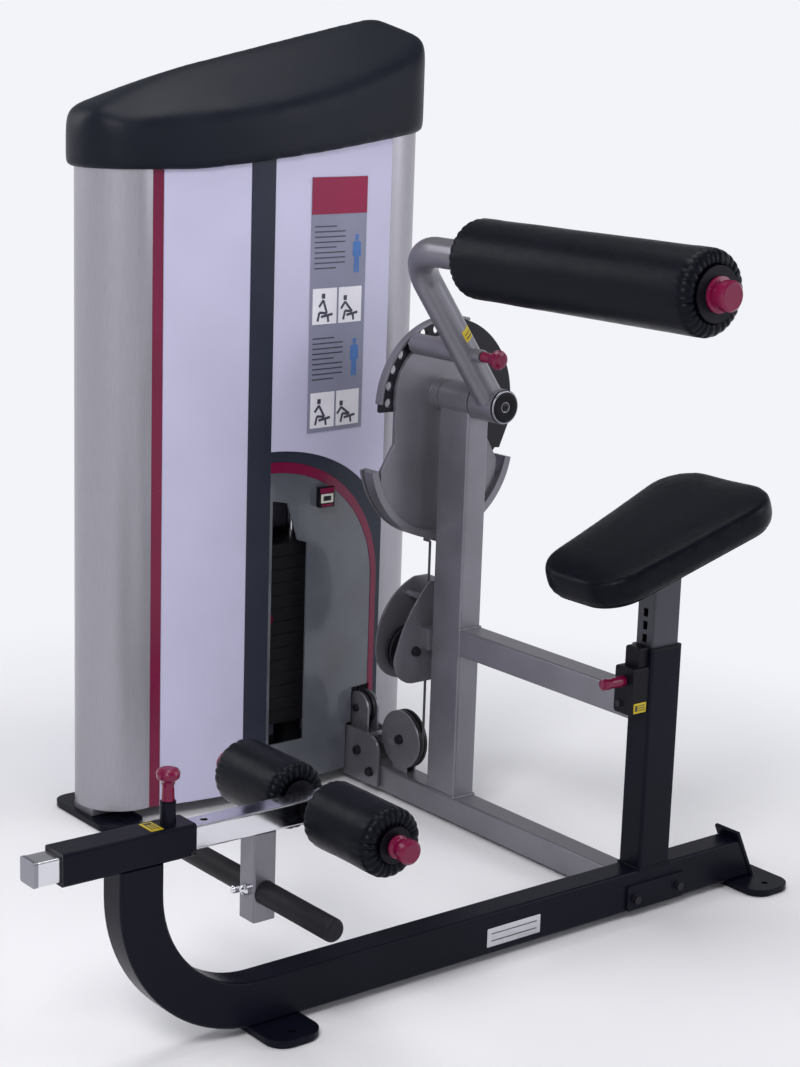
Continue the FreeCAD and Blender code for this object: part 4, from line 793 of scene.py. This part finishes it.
def make_cap():
    """The cap's moulding, with the generous round edges of a vacuum-formed cover."""
    shell = bmesh.new()
    shell.from_mesh(NODES["tower_cap"].data)
    hull = bmesh.ops.convex_hull(shell, input=shell.verts[:], use_existing_faces=False)
    spare = {v for v in hull["geom_interior"] + hull["geom_unused"] if isinstance(v, bmesh.types.BMVert)}
    bmesh.ops.delete(shell, geom=list(spare), context="VERTS")
    old = [f for f in shell.faces if f not in set(hull["geom"])]
    bmesh.ops.delete(shell, geom=old, context="FACES")
    mesh = bpy.data.meshes.new("cap_moulding")
    shell.to_mesh(mesh)
    shell.free()
    obj = bpy.data.objects.new("cap_moulding", mesh)
    scene.collection.objects.link(obj)
    voxel_remesh(obj, 0.006)
    roof = obj.vertex_groups.new(name="roof")
    for v in obj.data.vertices:
        rise = (v.co.z - CAP_RIM_Z) / CAP_EASE_RISE
        roof.add([v.index], max(0.06, min(1.0, rise)), "REPLACE")
    ease = obj.modifiers.new("ease", "SMOOTH")
    ease.vertex_group = "roof"
    ease.factor = 0.6
    ease.iterations = 60
    apply_modifiers(obj)
    obj.data.materials.append(MATS["cap_plastic"])
    obj.data.shade_smooth()
    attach(obj, "frame")
    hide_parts("tower_cap")


# ---------------------------------------------------------------- small trim

FACING_FRONT = ((1, 0, 0), (0, 0, 1))
PIVOT_Z = 797.0


def slab(name, centre, x_dir, y_dir, size, material, body, slot, corner=1.0):
    """A thin plate with rounded corners, lying on a face whose two directions are given."""
    x_dir = Vector(x_dir).normalized()
    y_dir = Vector(y_dir).normalized()
    out = x_dir.cross(y_dir)
    w, h, t = size
    loop = []
    for cx, cy, start in ((w / 2 - corner, h / 2 - corner, 0), (-w / 2 + corner, h / 2 - corner, 90),
                          (-w / 2 + corner, -h / 2 + corner, 180), (w / 2 - corner, -h / 2 + corner, 270)):
        for k in range(5):
            turn = math.radians(start + 22.5 * k)
            loop.append((cx + corner * math.cos(turn), cy + corner * math.sin(turn)))
    verts = []
    for level, shrink in ((0.0, 1.0), (t * 0.7, 1.0), (t, 0.985)):
        for a, b in loop:
            spot = Vector(centre) + x_dir * a * shrink + y_dir * b * shrink + out * level
            verts.append(place(*spot))
    add_mesh(name, verts, ring_faces(3, len(loop)), material, body)


def make_labels():
    yellow = printed("label_yellow", (0.50, 0.37, 0.012))
    ink = printed("label_ink", (0.05, 0.045, 0.03))
    silver = brushed_metal("maker_plate", (0.60, 0.60, 0.64), (1.0, 40.0, 40.0))
    spots = [
        ("sleeve_label", (-974.0, 0.0, 347.7), (0, -1, 0), (1, 0, 0), (34.0, 20.0), "frame"),
        ("housing_label", (-53.0, -21.2, 368.0), (1, 0, 0), (0, 0, 1), (28.0, 17.0), "frame"),
    ]
    for name, centre, x_dir, y_dir, (w, h), body in spots:
        slab(name, centre, x_dir, y_dir, (w, h, 0.5), yellow, body, "crimson_plastic")
        out = Vector(x_dir).cross(Vector(y_dir)) * 0.45
        mark = Vector(centre) + out - Vector(x_dir) * (w * 0.3)
        slab(name + "_mark", mark, x_dir, y_dir, (w * 0.2, h * 0.6, 0.3), ink, body, "black_steel", 0.5)
        for k in (-1, 0, 1):
            rule = Vector(centre) + out + Vector(x_dir) * (w * 0.12) + Vector(y_dir) * (k * h * 0.24)
            size = (w * 0.52, h * 0.09, 0.3)
            slab("%s_rule_%d" % (name, k + 1), rule, x_dir, y_dir, size, ink, body, "black_steel", 0.3)
    plate = (-311.0, -25.1, 42.0)
    slab("maker_plate", plate, *FACING_FRONT, (112.0, 31.0, 0.8), silver, "frame", "silver_column", 2.0)
    for k in (-1, 1):
        rule = (-311.0, -25.9, 42.0 + k * 6.0)
        size = (96.0, 1.6, 0.3)
        slab("maker_plate_rule_%d" % k, rule, *FACING_FRONT, size, ink, "frame", "black_steel", 0.5)
    arm_label(yellow, ink)


def arm_label(yellow, ink):
    """A caution label wrapped part of the way round the press arm."""
    up = Vector((CHEST_AXLE[0], 0.0, CHEST_AXLE[2] - PIVOT_Z)).normalized()
    centre = Vector((0.0, 435.0, PIVOT_Z)) + up * 158.0
    side = Vector((0.0, -1.0, 0.0))
    front = side.cross(up)
    bands = (("arm_label", yellow, 25.8, 44.0, 96.0, -11.0, 11.0),
             ("arm_label_mark", ink, 26.1, 52.0, 88.0, -6.0, -3.8),
             ("arm_label_rule", ink, 26.1, 52.0, 88.0, 1.5, 3.0))
    for name, material, radius, start, end, low, high in bands:
        verts = []
        faces = []
        steps = 14
        for k in range(steps + 1):
            turn = math.radians(start + (end - start) * k / steps)
            out = side * math.sin(turn) - front * math.cos(turn)
            for r in (radius, radius - 0.5):
                for level in (low, high):
                    verts.append(place(*(centre + out * r + up * level)))
        for k in range(steps):
            a = 4 * k
            faces += [(a, a + 4, a + 5, a + 1), (a + 2, a + 3, a + 7, a + 6)]
            faces += [(a, a + 2, a + 6, a + 4), (a + 1, a + 5, a + 7, a + 3)]
        faces += [(0, 1, 3, 2), (4 * steps, 4 * steps + 2, 4 * steps + 3, 4 * steps + 1)]
        add_mesh(name, verts, faces, material, "press_arm")


def button_head(name, centre, out, radius, height, material, body):
    """A domed screw head with a hexagonal socket."""
    out = Vector(out).normalized()
    side = out.orthogonal().normalized()
    other = out.cross(side)
    rings = [(radius, 0.0), (radius, height * 0.35), (radius * 0.86, height * 0.8),
             (radius * 0.55, height), (radius * 0.42, height)]
    verts = []
    count = 24
    for r, level in rings:
        for k in range(count):
            turn = 2 * math.pi * k / count
            spot = Vector(centre) + out * level + side * r * math.cos(turn) + other * r * math.sin(turn)
            verts.append(place(*spot))
    for level in (height * 0.98, height * 0.25):
        for k in range(count):
            turn = 2 * math.pi * k / count
            flat = radius * 0.36 * math.cos(math.pi / 6) / math.cos((turn % (math.pi / 3)) - math.pi / 6)
            spot = Vector(centre) + out * level + side * flat * math.cos(turn) + other * flat * math.sin(turn)
            verts.append(place(*spot))
    add_mesh(name, verts, ring_faces(len(rings) + 2, count), material, body)


def weld_bead(name, points, radius, body, slot):
    """A rippled weld bead that follows a closed or open line of points."""
    verts = []
    sides = 8
    path = []
    for a, b in zip(points, points[1:]):
        a = Vector(a)
        b = Vector(b)
        steps = max(2, int((b - a).length / 2.0))
        path += [a.lerp(b, k / steps) for k in range(steps)]
    path.append(Vector(points[-1]))
    for k, p in enumerate(path):
        ahead = path[min(k + 1, len(path) - 1)]
        behind = path[max(k - 1, 0)]
        run = (ahead - behind).normalized()
        side = run.orthogonal().normalized()
        other = run.cross(side)
        r = radius * (1.0 + 0.16 * math.sin(k * 1.9))
        for j in range(sides):
            turn = 2 * math.pi * j / sides
            verts.append(place(*(p + side * r * math.cos(turn) + other * r * math.sin(turn))))
    add_mesh(name, verts, ring_faces(len(path), sides), MATS[slot], body, 80.0)


def box_loop(axis, level, a0, a1, b0, b1):
    """Four corners and back again, round a tube that stands on a face square to Z or Y."""
    loop = [(a0, b0), (a1, b0), (a1, b1), (a0, b1), (a0, b0)]
    if axis == "Z":
        return [(a, b, level) for a, b in loop]
    return [(a, level, b) for a, b in loop]


def make_welds():
    weld_bead("weld_upright", box_loop("Z", 83.5, -35.5, 35.5, -24.5, 24.5), 2.4, "frame", "black_frame")
    weld_bead("weld_mast", box_loop("Z", 56.5, -24.0, 24.0, 471.5, 552.5), 2.4, "frame", "gray_frame")
    weld_bead("weld_brace", box_loop("Y", 25.5, -24.0, 24.0, 329.0, 379.0), 2.4, "frame", "gray_frame")
    weld_bead("weld_brace_mast", box_loop("Y", 471.5, -24.0, 24.0, 329.0, 379.0), 2.4, "frame", "gray_frame")
    weld_bead("weld_beam", box_loop("Y", 25.5, -24.0, 24.0, 14.0, 56.0), 2.4, "frame", "gray_frame")


def make_screws():
    black = MATS["black_steel"]
    button_head("sleeve_screw", (-921.0, -25.0, 306.0), (0, -1, 0), 4.0, 2.4, black, "frame")
    button_head("pivot_screw", (0.0, 404.0, PIVOT_Z), (0, -1, 0), 7.5, 4.0, black, "cam")
    cover = [(2.0, 8.4), (-0.3, 9.6), (-0.8, 14.0), (-1.0, 20.0), (-0.6, 25.5), (0.5, 28.6),
             (2.2, 30.35), (5.0, 30.35), (5.0, 29.0), (2.0, 8.4)]
    lathe("pivot_cover", cover, 72, MATS["black_plastic"], "cam", 40.0, (0.0, 401.0, PIVOT_Z))
    for k, y in enumerate((-75.0, 75.0)):
        for side in (-30.0, 30.0):
            local = Vector((0.2065 + y / 1000.0, side / 1000.0, -0.006))
            spot = (from_seat(local) - SHIFT) * 1000.0
            name = "seat_screw_%d_%d" % (k, int(side > 0))
            button_head(name, spot, -SEAT_Z, 6.0, 3.0, MATS["zinc_steel"], "seat")


def make_counter_face():
    """The rep counter's face: a crimson bezel and strip, a pale window and a dark bar for the digits."""
    crimson = MATS["crimson_plastic"]
    pale = printed("counter_window", (0.55, 0.56, 0.50), 0.2)
    plates = (("counter_bezel", 764.0, 594.0, (32.0, 10.0, 1.2), crimson, "crimson_plastic", 1.5),
              ("counter_window", 764.0, 579.0, (28.0, 17.0, 0.8), pale, "pale_panel", 1.0),
              ("counter_digits", 763.2, 579.0, (18.0, 9.0, 0.3), MATS["black_steel"], "black_steel", 1.0),
              ("counter_strip", 764.0, 566.0, (26.0, 4.5, 0.8), crimson, "crimson_plastic", 1.0))
    for name, y, z, size, material, slot, corner in plates:
        slab(name, (-114.0, y, z), *FACING_FRONT, size, material, "frame", slot, corner)


# ---------------------------------------------------------------- cables

CAM_CABLE = (0.0, 595.0)
STACK_CABLE = (TOWER_MIDDLE_X, 885.0)
STRAND_R = 2.5


def cable_tube(name, start, end, radius, steps, body):
    """A straight upright strand, in many short lengths."""
    verts = []
    sides = 14
    for k in range(steps + 1):
        p = Vector(start).lerp(Vector(end), k / steps)
        for j in range(sides):
            turn = 2 * math.pi * j / sides
            verts.append(place(p.x + radius * math.cos(turn), p.y + radius * math.sin(turn), p.z))
    faces = ring_faces(steps + 1, sides)
    return add_mesh(name, verts, faces, MATS["cable_coat"], body, 60.0)


def make_cables():
    cam = cable_tube("cam_cable_strand", (*CAM_CABLE, 340.0), (*CAM_CABLE, 517.4), STRAND_R, 48, None)
    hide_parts("cam_cable")
    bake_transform(cam)
    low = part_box("stack_cable")[0].z * 1000.0
    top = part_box("stack_cable")[1].z * 1000.0
    stack = cable_tube("stack_cable_strand", (*STACK_CABLE, low), (*STACK_CABLE, top), STRAND_R, 30, "frame")
    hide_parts("stack_cable")
    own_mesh(stack)


dress_nodes()
make_camera()
make_studio()
make_rollers()
make_seat()
make_cap()
make_placard()
make_labels()
make_welds()
make_screws()
make_counter_face()
make_cables()
